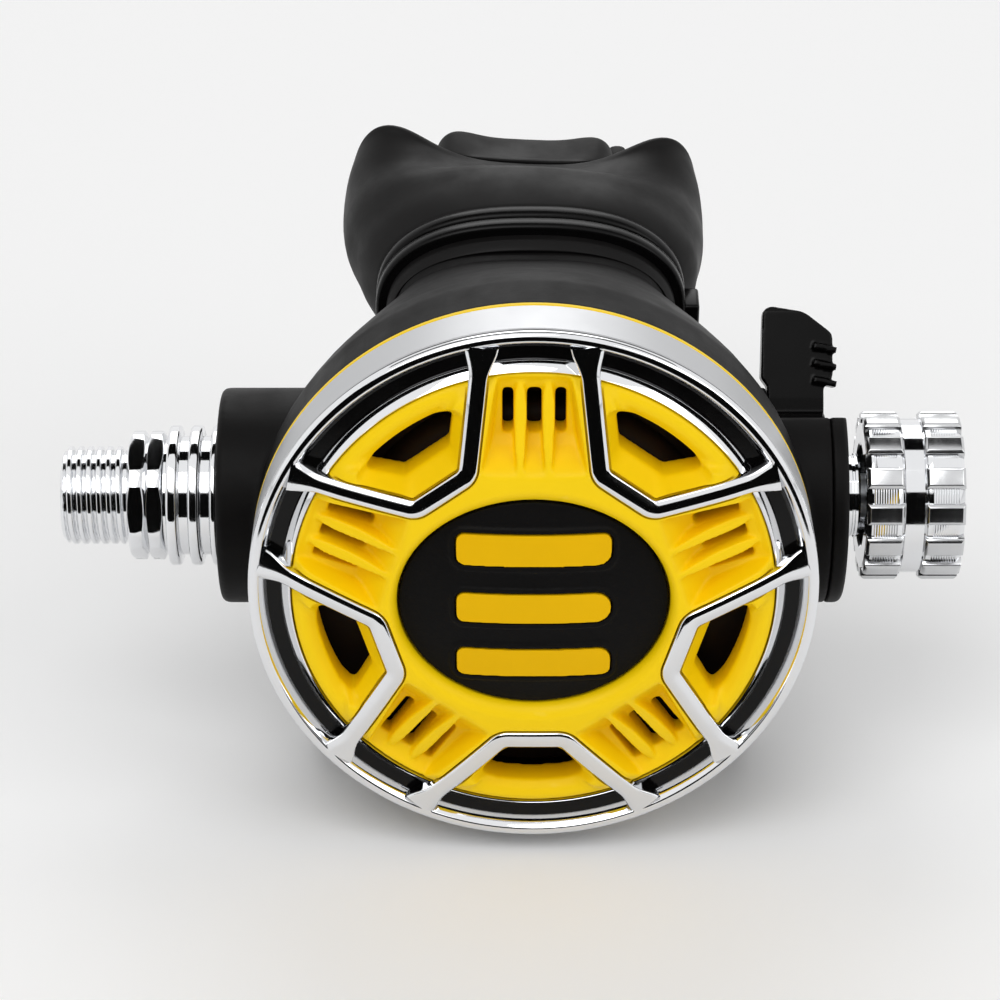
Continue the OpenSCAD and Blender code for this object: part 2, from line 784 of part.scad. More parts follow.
module cooling_fins() {
    x0 = -boss_left - 0.1 - fin_stack();
    bevel = 0.25;
    color("#dfe1e4") along_barrel() difference() {
        union() {
            rod(fin_core_d / 2, x0, x0 + fin_stack());
            for (i = [0:fin_count - 1]) translate([0, 0, x0 + i * fin_pitch]) rotate_extrude()
                polygon([[0, 0], [fin_d / 2 - bevel, 0], [fin_d / 2, bevel], [fin_d / 2, fin_t - bevel],
                    [fin_d / 2 - bevel, fin_t], [0, fin_t]]);
        }
        rod(shank_d / 2 + seat, x0 - 1, 0);
    }
}

module o_ring(x, r_in, r_out) {
    color("#17171a") along_barrel() translate([0, 0, x]) rotate_extrude()
        translate([(r_in + r_out) / 2, 0]) circle(r = (r_out - r_in) / 2, $fn = 32);
}

module inlet_ring() {
    o_ring(-boss_left + 5.55, shank_d / 2 - 0.88, shank_d / 2 + 0.02);
}

module orifice() {
    x0 = web_x - web_l;
    color("#c9b458") along_barrel() difference() {
        rotate_extrude() polygon([[0, x0 - 1.6], [shank_d / 2 - 0.1, x0 - 1.6], [shank_d / 2 - 0.1, x0],
            [orifice_r, x0], [orifice_r, x0 + orifice_groove[0]], [orifice_groove_r, x0 + orifice_groove[0]],
            [orifice_groove_r, x0 + orifice_groove[1]], [orifice_r, x0 + orifice_groove[1]],
            [orifice_r, web_x + 0.6], [2.7, edge_x], [0, edge_x]]);
        rod(2.2, x0 - 3, 0);
    }
}

module orifice_ring() {
    o_ring(web_x - web_l + (orifice_groove[0] + orifice_groove[1]) / 2, orifice_groove_r + 0.02, orifice_r + 0.02);
}

module poppet() {
    x0 = edge_x + 0.05;
    head_r = chamber_d / 2 - run;
    color("#e9e9e6") along_barrel() difference() {
        union() {
            rod(head_r, x0, x0 + head_l);
            rod(stem_d / 2, x0 + head_l - eps, 25);
        }
        rod(3.4, x0 - 1, x0 + 1.6);
        // air passes along four flats
        for (a = [0:90:270]) rotate([0, 0, a]) translate([head_r - 0.9, -10, x0 - 1]) cube([5, 20, head_l + 2]);
    }
}

module poppet_seat() {
    x0 = edge_x + 0.05;
    color("#1d1d20") along_barrel() rod(3.4 - 0.02, x0, x0 + 1.58);
}

module lever_nut() {
    color("#d0b25a") along_barrel() difference() {
        union() {
            rod(4.9, nut_x, nut_x + 0.8);
            translate([0, 0, nut_x]) cylinder(r = 4.4, h = nut_l, $fn = 6);
        }
        rod(stem_d / 2 + 0.01, nut_x - 1, nut_x + nut_l + 1);
    }
}

module poppet_spring() {
    color("#b8bcc2") along_barrel() translate([0, 0, spring_x])
        coil("poppet spring", stem_d / 2 + free + poppet_wire + 0.5, poppet_wire, pad_x - spring_x - 0.1, 5);
}

// ---------- demand lever ----------

module demand_lever() {
    t = 1;
    foot_x = pivot_x - 0.1;
    half = slot_half - free;
    tip_half = 2.2;
    color("#c4c7cb") barrel_frame() {
        // two feet that reach into the barrel
        for (s = [-1, 1]) translate([0, 0, s * (half - 0.6) - 0.6]) linear_extrude(1.2)
            polygon([[foot_x - 0.5, foot_y], [foot_x + 0.5, foot_y], [foot_x + 0.6, pivot_y + 0.6],
                [foot_x + 0.2, pivot_y - 1.5], [foot_x - 1, pivot_y - 1.5], [foot_x - 0.6, pivot_y + 0.6]]);
        translate([pivot_x, pivot_y, 0]) cylinder(r = pivot_r, h = 2 * pivot_half, center = true);
        // arm from the pivot to the middle of the diaphragm
        intersection() {
            linear_extrude(20, center = true) polygon([[foot_x, pivot_y - 0.3],
                [foot_x + 0.2, pivot_y - 1.5], [3.5, tip_y + t], [1.5, tip_y], [-3, tip_y],
                [-3, tip_y + t], [1.2, tip_y + t], [3, tip_y + 2 * t], [foot_x - 1.2, pivot_y - 0.3]]);
            rotate([90, 0, 0]) linear_extrude(60, center = true)
                polygon([[pivot_x + 1, -half], [pivot_x + 1, half], [pivot_x - 4, half], [2, tip_half],
                    [-3, tip_half], [-3, -tip_half], [2, -tip_half], [pivot_x - 4, -half]]);
        }
    }
}

// ---------- adjuster ----------

module spring_pad() {
    color("#e9e9e6") along_barrel() difference() {
        rod(chamber_d / 2 - run, pad_x, pad_x + pad_l);
        rod(stem_d / 2 + free, pad_x - 1, pad_x + 1.2);
    }
}

module adjuster_screw() {
    x0 = pad_x + pad_l + seat;
    color("#c9ccd0") along_barrel() difference() {
        union() {
            rod(chamber_d / 2 - run - 0.1, x0, x0 + foot_l);
            rod(screw_r, x0 + foot_l - eps, knob_x + knob_l - 3);
        }
        translate([0, 0, barrel_end - 4]) difference() {
            rod(screw_r + 1, 0, 1);
            rod(screw_r - 0.75, -1, 2);
        }
        rod(1.5, knob_x + knob_l - 8, knob_x + knob_l);
    }
}

module adjuster_ring() {
    o_ring(barrel_end - 3.5, screw_r - 0.73, screw_r - 0.01);
}

module packing_nut() {
    r = collar_d / 2;
    x1 = boss_right + collar_l;
    color("#dfe1e4") along_barrel() difference() {
        union() {
            rod(chamber_d / 2 - seat, barrel_end - nut_shank_l, barrel_end + eps);
            rotate_extrude() polygon([[0, collar_x], [r + 0.9, collar_x], [r + 0.9, boss_right + 0.6],
                [r, boss_right + 0.9], [r, x1 - 0.4], [r - 0.4, x1], [0, x1]]);
        }
        rod(screw_r + run, barrel_end - nut_shank_l - 1, x1 + 1);
    }
}

// One land of the knob: chamfered ring with flat-bottomed grooves between its grip pads
module knob_land(x0, l) {
    r = knob_d / 2;
    bevel = 0.8;
    difference() {
        rotate_extrude() polygon([[0, x0], [r - bevel, x0], [r, x0 + bevel], [r, x0 + l - bevel],
            [r - bevel, x0 + l], [0, x0 + l]]);
        for (i = [0:pad_count - 1]) rotate([0, 0, (i + 0.5) * 360 / pad_count])
            translate([r - 0.7, -0.52 * PI * r / pad_count, x0 - 1]) cube([3, 1.04 * PI * r / pad_count, l + 2]);
    }
}

module knob() {
    well = collar_d / 2 + 0.9 + free;
    color("#dfe1e4") along_barrel() difference() {
        union() {
            knob_land(knob_x, knob_inner_l);
            rod(waist_d / 2, knob_x + 0.8, knob_x + knob_l - 0.8);
            knob_land(knob_x + knob_inner_l + waist_w, knob_outer_l);
        }
        rod(well, knob_x - 1, knob_x + knob_travel + 0.8);
        rod(screw_r + 0.02, knob_x, knob_x + knob_l - 3 + 0.02);
        rod(5, knob_x + knob_l - 1.6, knob_x + knob_l + 1);
        rod(1.55, knob_x + knob_l - 4, knob_x + knob_l);
    }
}

module knob_screw() {
    x1 = knob_x + knob_l - 1.58;
    color("#b9bdc3") along_barrel() difference() {
        union() {
            rod(1.48, x1 - 6, x1 + eps);
            rotate_extrude() polygon([[0, x1], [4, x1], [4, x1 + 0.7], [3.4, x1 + 1.3], [0, x1 + 1.3]]);
        }
        translate([0, 0, x1 + 0.4]) cylinder(r = 1.7, h = 3, $fn = 6);
    }
}

// ---------- venturi lever ----------

module venturi_lever() {
    x0 = hub_x;
    x1 = hub_x + hub_l;
    tip = lever_reach;
    color("#222226") lever_frame() difference() {
        union() {
            rotate([0, 90, 0]) rod(hub_r, x0, x1);
            // paddle, as seen from the front
            intersection() {
                rotate([90, 0, 0]) linear_extrude(20, center = true)
                    polygon(rounded([[x0, hub_r - 2], [x1, hub_r - 2], [x1, hub_r + 3.4], [x1 + 1.3, hub_r + 5],
                        [x1 + 1.3, tip - 4.2], [x0 + 5.4, tip - 1], [x0 - 0.6, tip], [x0 - 0.9, hub_r + 4.8],
                        [x0, hub_r + 3.6]],
                        [0.1, 0.1, 0.5, 0.8, 1.4, 4, 1.4, 0.5, 0.3]));
                // side view: full at the root, thinner at the tip
                rotate([90, 0, 90]) linear_extrude(120, center = true)
                    polygon([[-lever_t / 2, 0], [lever_t / 2, 0], [lever_t / 2, hub_r + 2],
                        [lever_t / 2 - 0.5, tip - 1], [lever_t / 2 - 1.1, tip + 0.2],
                        [-lever_t / 2 + 1.1, tip + 0.2], [-lever_t / 2 + 0.5, tip - 1],
                        [-lever_t / 2, hub_r + 2]]);
            }
            // three finger ribs wrapped over the outer edge
            for (i = [0:2]) translate([x1 - 1.6, -lever_t / 2 - 0.35, tip - 6.4 - 2.45 * i])
                rotate([0, 12, 0]) cube([3.4, lever_t + 0.7, 0.9]);
        }
        rotate([0, 90, 0]) rod(barrel_d / 2 + run, x0 - 1, x1 + 1);
    }
}

module venturi_vane() {
    sleeve_x = pivot_x + 5;
    r0 = barrel_d / 2 + run;
    color("#222226") {
        along_barrel() tube(vane_r, r0, sleeve_x, hub_x);
        intersection() {
            along_barrel() tube(vane_r, r0, 1, sleeve_x + 1);
            barrel_frame() translate([0, 0, -4.2]) cube([sleeve_x + 1, 20, 8.4]);
        }
    }
}

// ---------- exhaust ----------

module exhaust_valve() {
    color("#2c2c30") exhaust_frame() {
        rotate_extrude() polygon([[0, seat], [exhaust_r, seat], [exhaust_r, 0.5], [3, 1], [0, 1.6]]);
        rod(1.5, -3.6, 0.5);
        rotate_extrude() polygon([[0, -3.9], [1.2, -3.9], [2.1, -2.9], [2.1, -2.3], [0, -2.3]]);
    }
}

// Rings of the tee from outlet to outlet, drawn in by the wall when it is given
function tee_rings(inset, reach) = [
    for (i = [-8:8])
        let (t = i / 8,
             f = pow(abs(t), 1.6),
             w = tee_w - 8 * f - inset,
             h = 7.2 - 1.2 * f - inset,
             zc = 6.9 - 1.2 * f,
             yc = 4 * f)
            [for (p = oval(w, h, 2.6, 32)) [t * reach, yc + p[0], zc + p[1]]]
];

module exhaust_tee() {
    collar = port_boss_r + tee_wall;
    color("#222226") exhaust_frame() difference() {
        union() {
            loft(tee_rings(0, tee_l));
            rod(collar, port_skin_gap - port_lift, 3);
        }
        loft(tee_rings(tee_wall, tee_l * 1.02));
        rod(port_boss_r + seat, -5, 0);
        rod(port_boss_r - 1.2, -1, 4);
    }
}

// ---------- mouthpiece ----------

mouth_points = 48;
mouth_shift = -1;                      // the rubber sags a little to one side

// Stations of the mouthpiece: half width, half height, squareness, distance along the neck,
// depth of the dip in the middle of the long edges and sweep of the sides
function mouth_stations() = let (
        w = neck_w + sleeve_t,
        h = neck_h + sleeve_t,
        b = flange_back,
        f = flange_w,
        g = flange_h,
        in_w = neck_w + seat,
        in_h = neck_h + seat) [
    [w, h, 2.5, 2, 0, 0],
    [w + 0.3, h + 0.3, 2.4, 2.8, 0, 0],
    [w + 0.3, h + 0.3, 2.4, 4.2, 0, 0],
    [w - 0.2, h - 0.2, 2.4, 4.6, 0, 0],
    [w - 0.2, h - 0.2, 2.4, 4.8 + tie_w, 0, 0],
    [w + 0.9, h + 0.6, 2.4, 5 + tie_w, 0, 0],
    [w + 3.4, h + 1.3, 2.3, b - 17, 0, 0],
    [f - 0.3, h + 1.7, 2.2, b - 13, 0.02, 0],
    [f + 0.9, h + 2, 2.2, b - 9, 0.08, 0.8],
    [f + 1.3, g - 2.6, 2.2, b - 5.5, 0.24, flange_sweep * 0.45],
    [f + 1, g - 1.4, 2.25, b - 2.6, 0.38, flange_sweep * 0.75],
    [f + 0.4, g - 0.4, 2.3, b - 0.9, 0.47, flange_sweep * 0.95],
    [f, g, 2.3, b, 0.5, flange_sweep],
    [f - 0.9, g - 0.6, 2.3, b + 1.1, 0.5, flange_sweep],
    [f - 2, g - 1.8, 2.3, b + 1.4, 0.48, flange_sweep],
    [20.5, 12, 2.4, b + 1.6, 0.2, flange_sweep * 0.9],
    [15.6, 10.4, 3, b + 2.4, 0.12, 1],
    [14.5, 10.8, 3.6, b + 4, 0.2, 0],
    [14.3, 11.2, 4, b + 9.6, 0.25, 0],
    [13.4, 10.4, 4, b + 10.6, 0.25, 0],
    [12.2, 8.4, 3, b + 10.6, 0.14, 0],
    [11.6, 6.4, 2.5, b + 9.4, 0, 0],
    [12.6, 7.2, 2.5, b, 0, 0],
    [neck_w - 3.5, neck_h - 2.6, 2.4, neck_length + 6, 0, 0],
    [neck_w - 2.2, neck_h - 2, 2.6, neck_length + 0.6, 0, 0],
    [in_w + 0.6, in_h + 0.6, 2.7, neck_length + 0.5, 0, 0],
    [in_w + 0.6, in_h + 0.6, 2.7, neck_length - 1.8, 0, 0],
    [in_w, in_h, 2.7, neck_length - 2, 0, 0],
    [in_w, in_h, 2.7, 2, 0, 0]
];

function mouth_turn(z) = mouthpiece_roll * min(1, max(0, (z - neck_length - 1) / (flange_back - 20)));

function mouth_ring(s) = let (turn = mouth_turn(s[3]), shift = mouth_shift * turn / mouthpiece_roll) [
    for (p = oval(s[0], s[1], s[2], mouth_points))
        let (y = p[1] * (1 - s[4] * exp(-pow(p[0] / (0.65 * s[0]), 4))))
            [shift + p[0] * cos(turn) - y * sin(turn), p[0] * sin(turn) + y * cos(turn),
                s[3] + s[5] * pow(p[0] / flange_w, 2)]
];

// Bite tab with its upright lug, on the side given by s
module bite_tab(s) {
    b = flange_back;
    hull() for (z = [b + 5, b + 15]) translate([s * 15, 0, z]) rotate([90, 0, 0])
        cylinder(r = 3.6, h = 3.2, center = true, $fn = 24);
    hull() for (y = [-2.6, 2.6]) translate([s * 14, y, b + 11]) cylinder(r = 1.6, h = 5, $fn = 16);
}

module mouthpiece() {
    color("#232326") neck_frame() {
        loft_loop([for (s = mouth_stations()) mouth_ring(s)]);
        translate([mouth_shift, 0, 0]) rotate([0, 0, mouthpiece_roll]) for (s = [-1, 1]) bite_tab(s);
    }
}

module mouthpiece_tie() {
    w = neck_w + sleeve_t - 0.2 + seat;
    h = neck_h + sleeve_t - 0.2 + seat;
    z0 = 4.7;
    // half-width growth and position of each corner of the two bands
    profile = [[0, 0], [1.3, 0], [1.5, 0.4], [1.5, tie_w / 2 - 0.7], [1, tie_w / 2 - 0.3],
        [1, tie_w / 2 + 0.3], [1.5, tie_w / 2 + 0.7], [1.5, tie_w - 0.4], [1.3, tie_w], [0, tie_w]];
    color("#1b1b1e") neck_frame() {
        loft_loop([for (p = profile) [for (q = oval(w + p[0], h + p[0], 2.4, mouth_points)) [q[0], q[1], z0 + p[1]]]]);
        translate([w + 0.6, -1.2, z0 + 0.4]) cube([3, 4.8, tie_w - 0.8]);
    }
}

case();
side_cap();
cover_ring();
front_cover();
purge_pad();
purge_core();
purge_spring();
clamp_ring();
diaphragm();
diaphragm_plate();
valve_barrel();
inlet_connector();
cooling_fins();
inlet_ring();
orifice();
orifice_ring();
poppet();
poppet_seat();
lever_nut();
poppet_spring();
demand_lever();
spring_pad();
adjuster_screw();
adjuster_ring();
packing_nut();
knob();
knob_screw();
venturi_lever();
venturi_vane();
exhaust_valve();
exhaust_tee();
mouthpiece();
mouthpiece_tie();
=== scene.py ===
import json
import math

import bpy
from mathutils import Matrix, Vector

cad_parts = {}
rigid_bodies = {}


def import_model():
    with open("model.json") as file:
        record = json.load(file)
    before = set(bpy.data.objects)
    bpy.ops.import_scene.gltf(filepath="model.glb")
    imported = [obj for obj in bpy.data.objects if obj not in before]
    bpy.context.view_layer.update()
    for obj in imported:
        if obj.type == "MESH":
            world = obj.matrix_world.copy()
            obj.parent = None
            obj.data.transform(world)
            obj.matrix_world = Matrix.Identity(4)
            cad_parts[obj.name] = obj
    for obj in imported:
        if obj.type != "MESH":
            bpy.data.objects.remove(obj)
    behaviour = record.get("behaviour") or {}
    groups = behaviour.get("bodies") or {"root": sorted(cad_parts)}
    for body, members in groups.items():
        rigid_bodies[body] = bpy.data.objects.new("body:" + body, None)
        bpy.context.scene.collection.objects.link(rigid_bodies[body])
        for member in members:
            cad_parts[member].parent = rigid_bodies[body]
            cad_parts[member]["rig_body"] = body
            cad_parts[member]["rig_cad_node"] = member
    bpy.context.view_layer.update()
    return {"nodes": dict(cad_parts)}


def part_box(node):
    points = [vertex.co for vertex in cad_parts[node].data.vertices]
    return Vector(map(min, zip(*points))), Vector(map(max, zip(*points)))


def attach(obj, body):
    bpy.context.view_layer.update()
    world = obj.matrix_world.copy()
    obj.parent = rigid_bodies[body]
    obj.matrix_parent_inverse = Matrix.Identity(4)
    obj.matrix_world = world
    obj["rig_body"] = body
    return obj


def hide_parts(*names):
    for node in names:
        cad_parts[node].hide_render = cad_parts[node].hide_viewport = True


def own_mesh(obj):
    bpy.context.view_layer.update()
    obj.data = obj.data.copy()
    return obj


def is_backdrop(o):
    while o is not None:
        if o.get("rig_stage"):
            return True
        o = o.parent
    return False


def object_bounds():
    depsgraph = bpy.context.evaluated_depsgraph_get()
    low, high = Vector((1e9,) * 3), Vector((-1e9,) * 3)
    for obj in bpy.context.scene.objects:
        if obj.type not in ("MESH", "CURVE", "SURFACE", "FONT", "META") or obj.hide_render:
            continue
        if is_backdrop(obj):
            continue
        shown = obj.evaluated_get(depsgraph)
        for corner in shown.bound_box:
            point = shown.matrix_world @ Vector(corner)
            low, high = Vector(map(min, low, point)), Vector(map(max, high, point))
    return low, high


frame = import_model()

bl_info = {
    "name": "Diving Regulator Second Stage",
    "version": (1, 0, 0),
    "blender": (4, 5, 0),
    "location": "View3D > Sidebar > Regulator",
    "description": "Dresses the regulator's solids with finished pieces and materials",
    "category": "Object",
}

MM = 0.001
RING_LOW, RING_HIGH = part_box("cover_ring")
AXIS_X = (RING_LOW.x + RING_HIGH.x) / 2     # the cover axis crosses the barrel axis here
FRONT_Y = -30.2 * MM                        # front plane of the chrome ring
RING_R = (RING_HIGH.x - RING_LOW.x) / 2 / MM
FOLDS = 5                                   # windows, and gaps, around the cover
FOLD = 360 / FOLDS
WINDOWS_AT, GAPS_AT = 270, 90               # angle of the first window and the first gap
DOME_R, DOME_H = 141, 5.65                  # the dome of chrome loops
NECK_BACK, NECK_UP, NECK_TILT = 22, 15.8, math.radians(10)


# ---------- places ----------

def on_cover(x, y, h):
    """Point at x and y across the cover and h in front of the ring's front plane, in mm."""
    return Vector((AXIS_X + x * MM, FRONT_Y - h * MM, y * MM))


def on_barrel(x, y, z):
    """Point given from the crossing of the cover axis and the barrel axis, in mm."""
    return Vector((AXIS_X + x * MM, y * MM, z * MM))


def on_neck(x, y, z):
    """Point z mm out along the mouthpiece neck, x across and y down."""
    c, s = math.cos(NECK_TILT), math.sin(NECK_TILT)
    return on_barrel(x, NECK_BACK + s * y + c * z, NECK_UP - c * y + s * z)


def dome(r):
    """Height of the cover's dome in mm at radius r."""
    return DOME_H - DOME_R + math.sqrt(DOME_R ** 2 - r * r)


# ---------- modelling helpers ----------

def rest():
    """Leaves edit mode and deselects everything."""
    if bpy.context.mode != "OBJECT":
        bpy.ops.object.mode_set(mode="OBJECT")
    bpy.ops.object.select_all(action="DESELECT")


def pick(*objs):
    """Selects these objects only and makes the first one active."""
    rest()
    for obj in objs:
        obj.select_set(True)
    bpy.context.view_layer.objects.active = objs[0]


def edit(obj, kind="VERT"):
    """Opens a piece's mesh with all of it selected."""
    pick(obj)
    bpy.ops.object.mode_set(mode="EDIT")
    bpy.ops.mesh.select_mode(type=kind)
    bpy.ops.mesh.select_all(action="SELECT")


def open_faces(obj, chosen):
    """Opens a piece's mesh with the chosen faces selected."""
    edit(obj, "FACE")
    bpy.ops.mesh.select_all(action="DESELECT")
    rest()
    for face in obj.data.polygons:
        face.select = chosen(face)
    bpy.ops.object.mode_set(mode="EDIT")


def settle(obj):
    """Puts a piece's place into its mesh."""
    pick(obj)
    bpy.ops.object.transform_apply(location=True, rotation=True, scale=True)
    return obj


def tidy_mesh(obj, gap=0.002):
    """Merges doubles closer than gap mm and turns the faces outwards."""
    edit(obj)
    bpy.ops.mesh.remove_doubles(threshold=gap * MM)
    bpy.ops.mesh.normals_make_consistent(inside=False)
    rest()
    return obj


def draw(name, points):
    """A line drawn from the first point on, one extruded vertex after another, and all of it
    selected."""
    rest()
    bpy.ops.mesh.primitive_plane_add(size=MM, location=points[0])
    obj = bpy.context.active_object
    obj.name = obj.data.name = name
    edit(obj)
    bpy.ops.mesh.merge(type="CENTER")
    for here, there in zip(points, points[1:]):
        bpy.ops.mesh.extrude_region_move(TRANSFORM_OT_translate={"value": there - here})
    bpy.ops.mesh.select_all(action="SELECT")
    return obj


def prism(name, points, along):
    """A flat outline filled and extruded along a vector."""
    obj = draw(name, points)
    bpy.ops.mesh.edge_face_add()
    bpy.ops.mesh.select_all(action="SELECT")
    bpy.ops.mesh.extrude_region_move(TRANSFORM_OT_translate={"value": along})
    return tidy_mesh(settle(obj))


def lathe(name, profile, place, axis, steps=96):
    """A closed profile of points (radius, distance) spun once round an axis."""
    points = [place(r, t) for r, t in profile]
    if profile[0][0] > 0 or profile[-1][0] > 0:
        points.append(points[0])
    obj = draw(name, points)
    bpy.ops.mesh.spin(steps=steps, angle=2 * math.pi, center=place(0, 0), axis=axis)
    return tidy_mesh(settle(obj))


def barrel_lathe(name, profile, steps=96):
    return lathe(name, profile, lambda r, t: on_barrel(t, 0, r), (1, 0, 0), steps)


def cover_lathe(name, profile, steps=96):
    return lathe(name, profile, lambda r, t: on_cover(r, 0, t), (0, 1, 0), steps)


def skin(name, rings, loop=False):
    """A sheet of faces bent over rings of points, closed round each ring, with its ends
    filled, or joined to each other for a loop."""
    rows, count = len(rings) + (1 if loop else 0), len(rings[0])
    rest()
    bpy.ops.mesh.primitive_grid_add(x_subdivisions=count, y_subdivisions=rows - 1, size=2)
    obj = bpy.context.active_object
    obj.name = obj.data.name = name
    for vertex in obj.data.vertices:
        i = round((vertex.co.x + 1) / 2 * count) % count
        j = round((vertex.co.y + 1) / 2 * (rows - 1)) % len(rings)
        vertex.co = rings[j][i]
    edit(obj)
    bpy.ops.mesh.remove_doubles(threshold=MM / 1000)
    if not loop:
        bpy.ops.mesh.select_all(action="DESELECT")
        bpy.ops.mesh.select_non_manifold()
        bpy.ops.mesh.fill_holes(sides=0)
    bpy.ops.mesh.select_all(action="SELECT")
    bpy.ops.mesh.normals_make_consistent(inside=False)
    return settle(obj)


def at_height(outline, h):
    """An outline across the cover as points at height h."""
    return [on_cover(*p, h) for p in outline]


def cover_prism(name, outline, low, high):
    """An outline across the cover, filled from height low to high."""
    return prism(name, at_height(outline, low), on_cover(0, 0, high) - on_cover(0, 0, low))


def side_prism(name, outline, low, high):
    """An outline of places out along x and heights, filled across the cover from low to high."""
    points = [on_cover(x, low, h) for x, h in outline]
    return prism(name, points, on_cover(0, high, 0) - on_cover(0, low, 0))


def block(name, low, high, place=on_barrel):
    """A box between two corners in the coordinates of place, in mm."""
    corners = [(low[0], low[1]), (high[0], low[1]), (high[0], high[1]), (low[0], high[1])]
    points = [place(x, y, low[2]) for x, y in corners]
    return prism(name, points, place(low[0], low[1], high[2]) - points[0])


def twin(obj, name):
    """A copy of a piece with its own mesh."""
    pick(obj)
    bpy.ops.object.duplicate(linked=False)
    copy = bpy.context.active_object
    copy.name = copy.data.name = name
    return copy


def turn(obj, angle, axis, centre):
    """Turns a piece in its mesh by an angle in degrees."""
    edit(obj)
    bpy.ops.transform.rotate(value=math.radians(angle), orient_axis=axis, center_override=centre)
    rest()
    return obj


def around(obj, angles, axis="Y", centre=None):
    """Copies of one piece turned to each angle, joined into it."""
    centre = centre or on_cover(0, 0, 0)
    copies = [turn(twin(obj, obj.name + "_copy"), a, axis, centre) for a in angles[1:]]
    turn(obj, angles[0], axis, centre)
    pick(obj, *copies)
    if copies:
        bpy.ops.object.join()
    return obj


def merge(obj, *others):
    """Joins pieces into the first one as they are."""
    pick(obj, *others)
    bpy.ops.object.join()
    return obj


def modify(obj, kind, **settings):
    """Adds a modifier with its settings and applies it."""
    pick(obj)
    modifier = obj.modifiers.new(kind.title(), kind)
    for key, value in settings.items():
        setattr(modifier, key, value)
    bpy.ops.object.modifier_apply(modifier=modifier.name)
    return obj


def bevel(obj, width, segments, angle=30):
    """Rounds the edges sharper than the angle in degrees, by a width in mm."""
    return modify(obj, "BEVEL", width=width * MM, segments=segments, limit_method="ANGLE",
                  angle_limit=math.radians(angle))


def carve(obj, tool, way="DIFFERENCE", closed=False):
    """Cuts, joins or crosses a piece with a tool, and removes the tool. Two closed skins take
    the quicker way."""
    if closed:
        modify(obj, "BOOLEAN", operation=way, object=tool, solver="MANIFOLD")
    else:
        modify(obj, "BOOLEAN", operation=way, object=tool, solver="EXACT", use_self=True)
    bpy.data.objects.remove(tool)
    if not obj.data.polygons:
        raise RuntimeError(f"nothing is left of {obj.name}")
    return obj


def mould(obj, voxel, rounds, most=190000):
    """Melts a piece into one skin whose edges are softly rounded, as a mould leaves them."""
    modify(obj, "REMESH", mode="VOXEL", voxel_size=voxel * MM)
    modify(obj, "SMOOTH", factor=0.5, iterations=rounds)
    faces = sum(len(p.vertices) - 2 for p in obj.data.polygons)
    if faces > most:
        modify(obj, "DECIMATE", ratio=most / faces)
    return smooth(obj)


def smooth(obj, angle=180):
    """Shades a piece smooth except over edges sharper than the angle in degrees."""
    pick(obj)
    if angle >= 180:
        bpy.ops.object.shade_smooth()
    else:
        bpy.ops.object.shade_smooth_by_angle(angle=math.radians(angle))
    return obj


def from_solid(node, name):
    """A merged copy of a CAD node, to become a piece of its own."""
    pick(frame["nodes"][node])
    bpy.ops.object.duplicate(linked=False)
    copy = bpy.context.active_object
    bpy.ops.object.parent_clear(type="CLEAR_KEEP_TRANSFORM")
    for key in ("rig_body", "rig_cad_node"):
        if key in copy:
            del copy[key]
    copy.name = copy.data.name = name
    return tidy_mesh(copy)


def finish_piece(obj, body, finish, *nodes):
    """Gives a piece its finish and its body, and hides the CAD nodes that it stands for."""
    obj.data.materials.clear()
    obj.data.materials.append(MATERIALS[finish])
    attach(obj, body)
    if nodes:
        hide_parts(*nodes)
    return obj


def moulded(node, name, voxel, rounds, body, finish):
    """A piece moulded from a CAD node, which it stands for."""
    return finish_piece(mould(from_solid(node, name), voxel, rounds), body, finish, node)


def rounded(points, radii, steps=5):
    """A closed outline in the plane whose corners are rounded."""
    made = []
    for i, point in enumerate(points):
        p = Vector(point)
        a = (Vector(points[i - 1]) - p).normalized()
        b = (Vector(points[(i + 1) % len(points)]) - p).normalized()
        if radii[i] <= 0:
            made.append(p)
            continue
        half = a.angle(b) / 2
        centre = p + (a + b).normalized() * radii[i] / math.sin(half)
        start = p + a * radii[i] / math.tan(half) - centre
        end = p + b * radii[i] / math.tan(half) - centre
        first = math.atan2(start.y, start.x)
        sweep = math.atan2(start.x * end.y - start.y * end.x, start.dot(end))
        for k in range(steps + 1):
            angle = first + sweep * k / steps
            made.append(centre + radii[i] * Vector((math.cos(angle), math.sin(angle))))
    return made


def oval(w, h, n, count):
    """A superellipse with half width w, half height h and squareness n."""
    points = []
    for i in range(count):
        a = 2 * math.pi * i / count
        c, s = math.cos(a), math.sin(a)
        points.append((w * math.copysign(abs(c) ** (2 / n), c), h * math.copysign(abs(s) ** (2 / n), s)))
    return points


def between(table, place):
    """Row of a table at a fractional place, on a smooth curve through its rows."""
    i = min(int(place), len(table) - 2)
    t = place - i
    rows = [table[max(0, min(len(table) - 1, k))] for k in (i - 1, i, i + 1, i + 2)]
    return [0.5 * (2 * b + (c - a) * t + (2 * a - 5 * b + 4 * c - d) * t * t
                   + (3 * b - a - 3 * c + d) * t ** 3) for a, b, c, d in zip(*rows)]


def inside(shape, centre, count):
    """Points of an outline at even angles round a centre inside it."""
    ring = []
    for i in range(count):
        a = 2 * math.pi * i / count
        ray = Vector((math.cos(a), math.sin(a)))
        far = 0.0
        for p, q in zip(shape, shape[1:] + shape[:1]):
            p, q = p - centre, q - centre
            across = ray.x * (q - p).y - ray.y * (q - p).x
            if abs(across) < 1e-9:
                continue
            along = (p.x * (q - p).y - p.y * (q - p).x) / across
            place = (p.x * ray.y - p.y * ray.x) / across
            if along > 0 and -1e-6 <= place <= 1 + 1e-6:
                far = max(far, along)
        ring.append(centre + ray * far)
    return ring


def ease(low, high, value):
    """Goes smoothly from 0 at low to 1 at high."""
    t = max(0.0, min(1.0, (value - low) / (high - low)))
    return t * t * (3 - 2 * t)


# ---------- colours and materials ----------

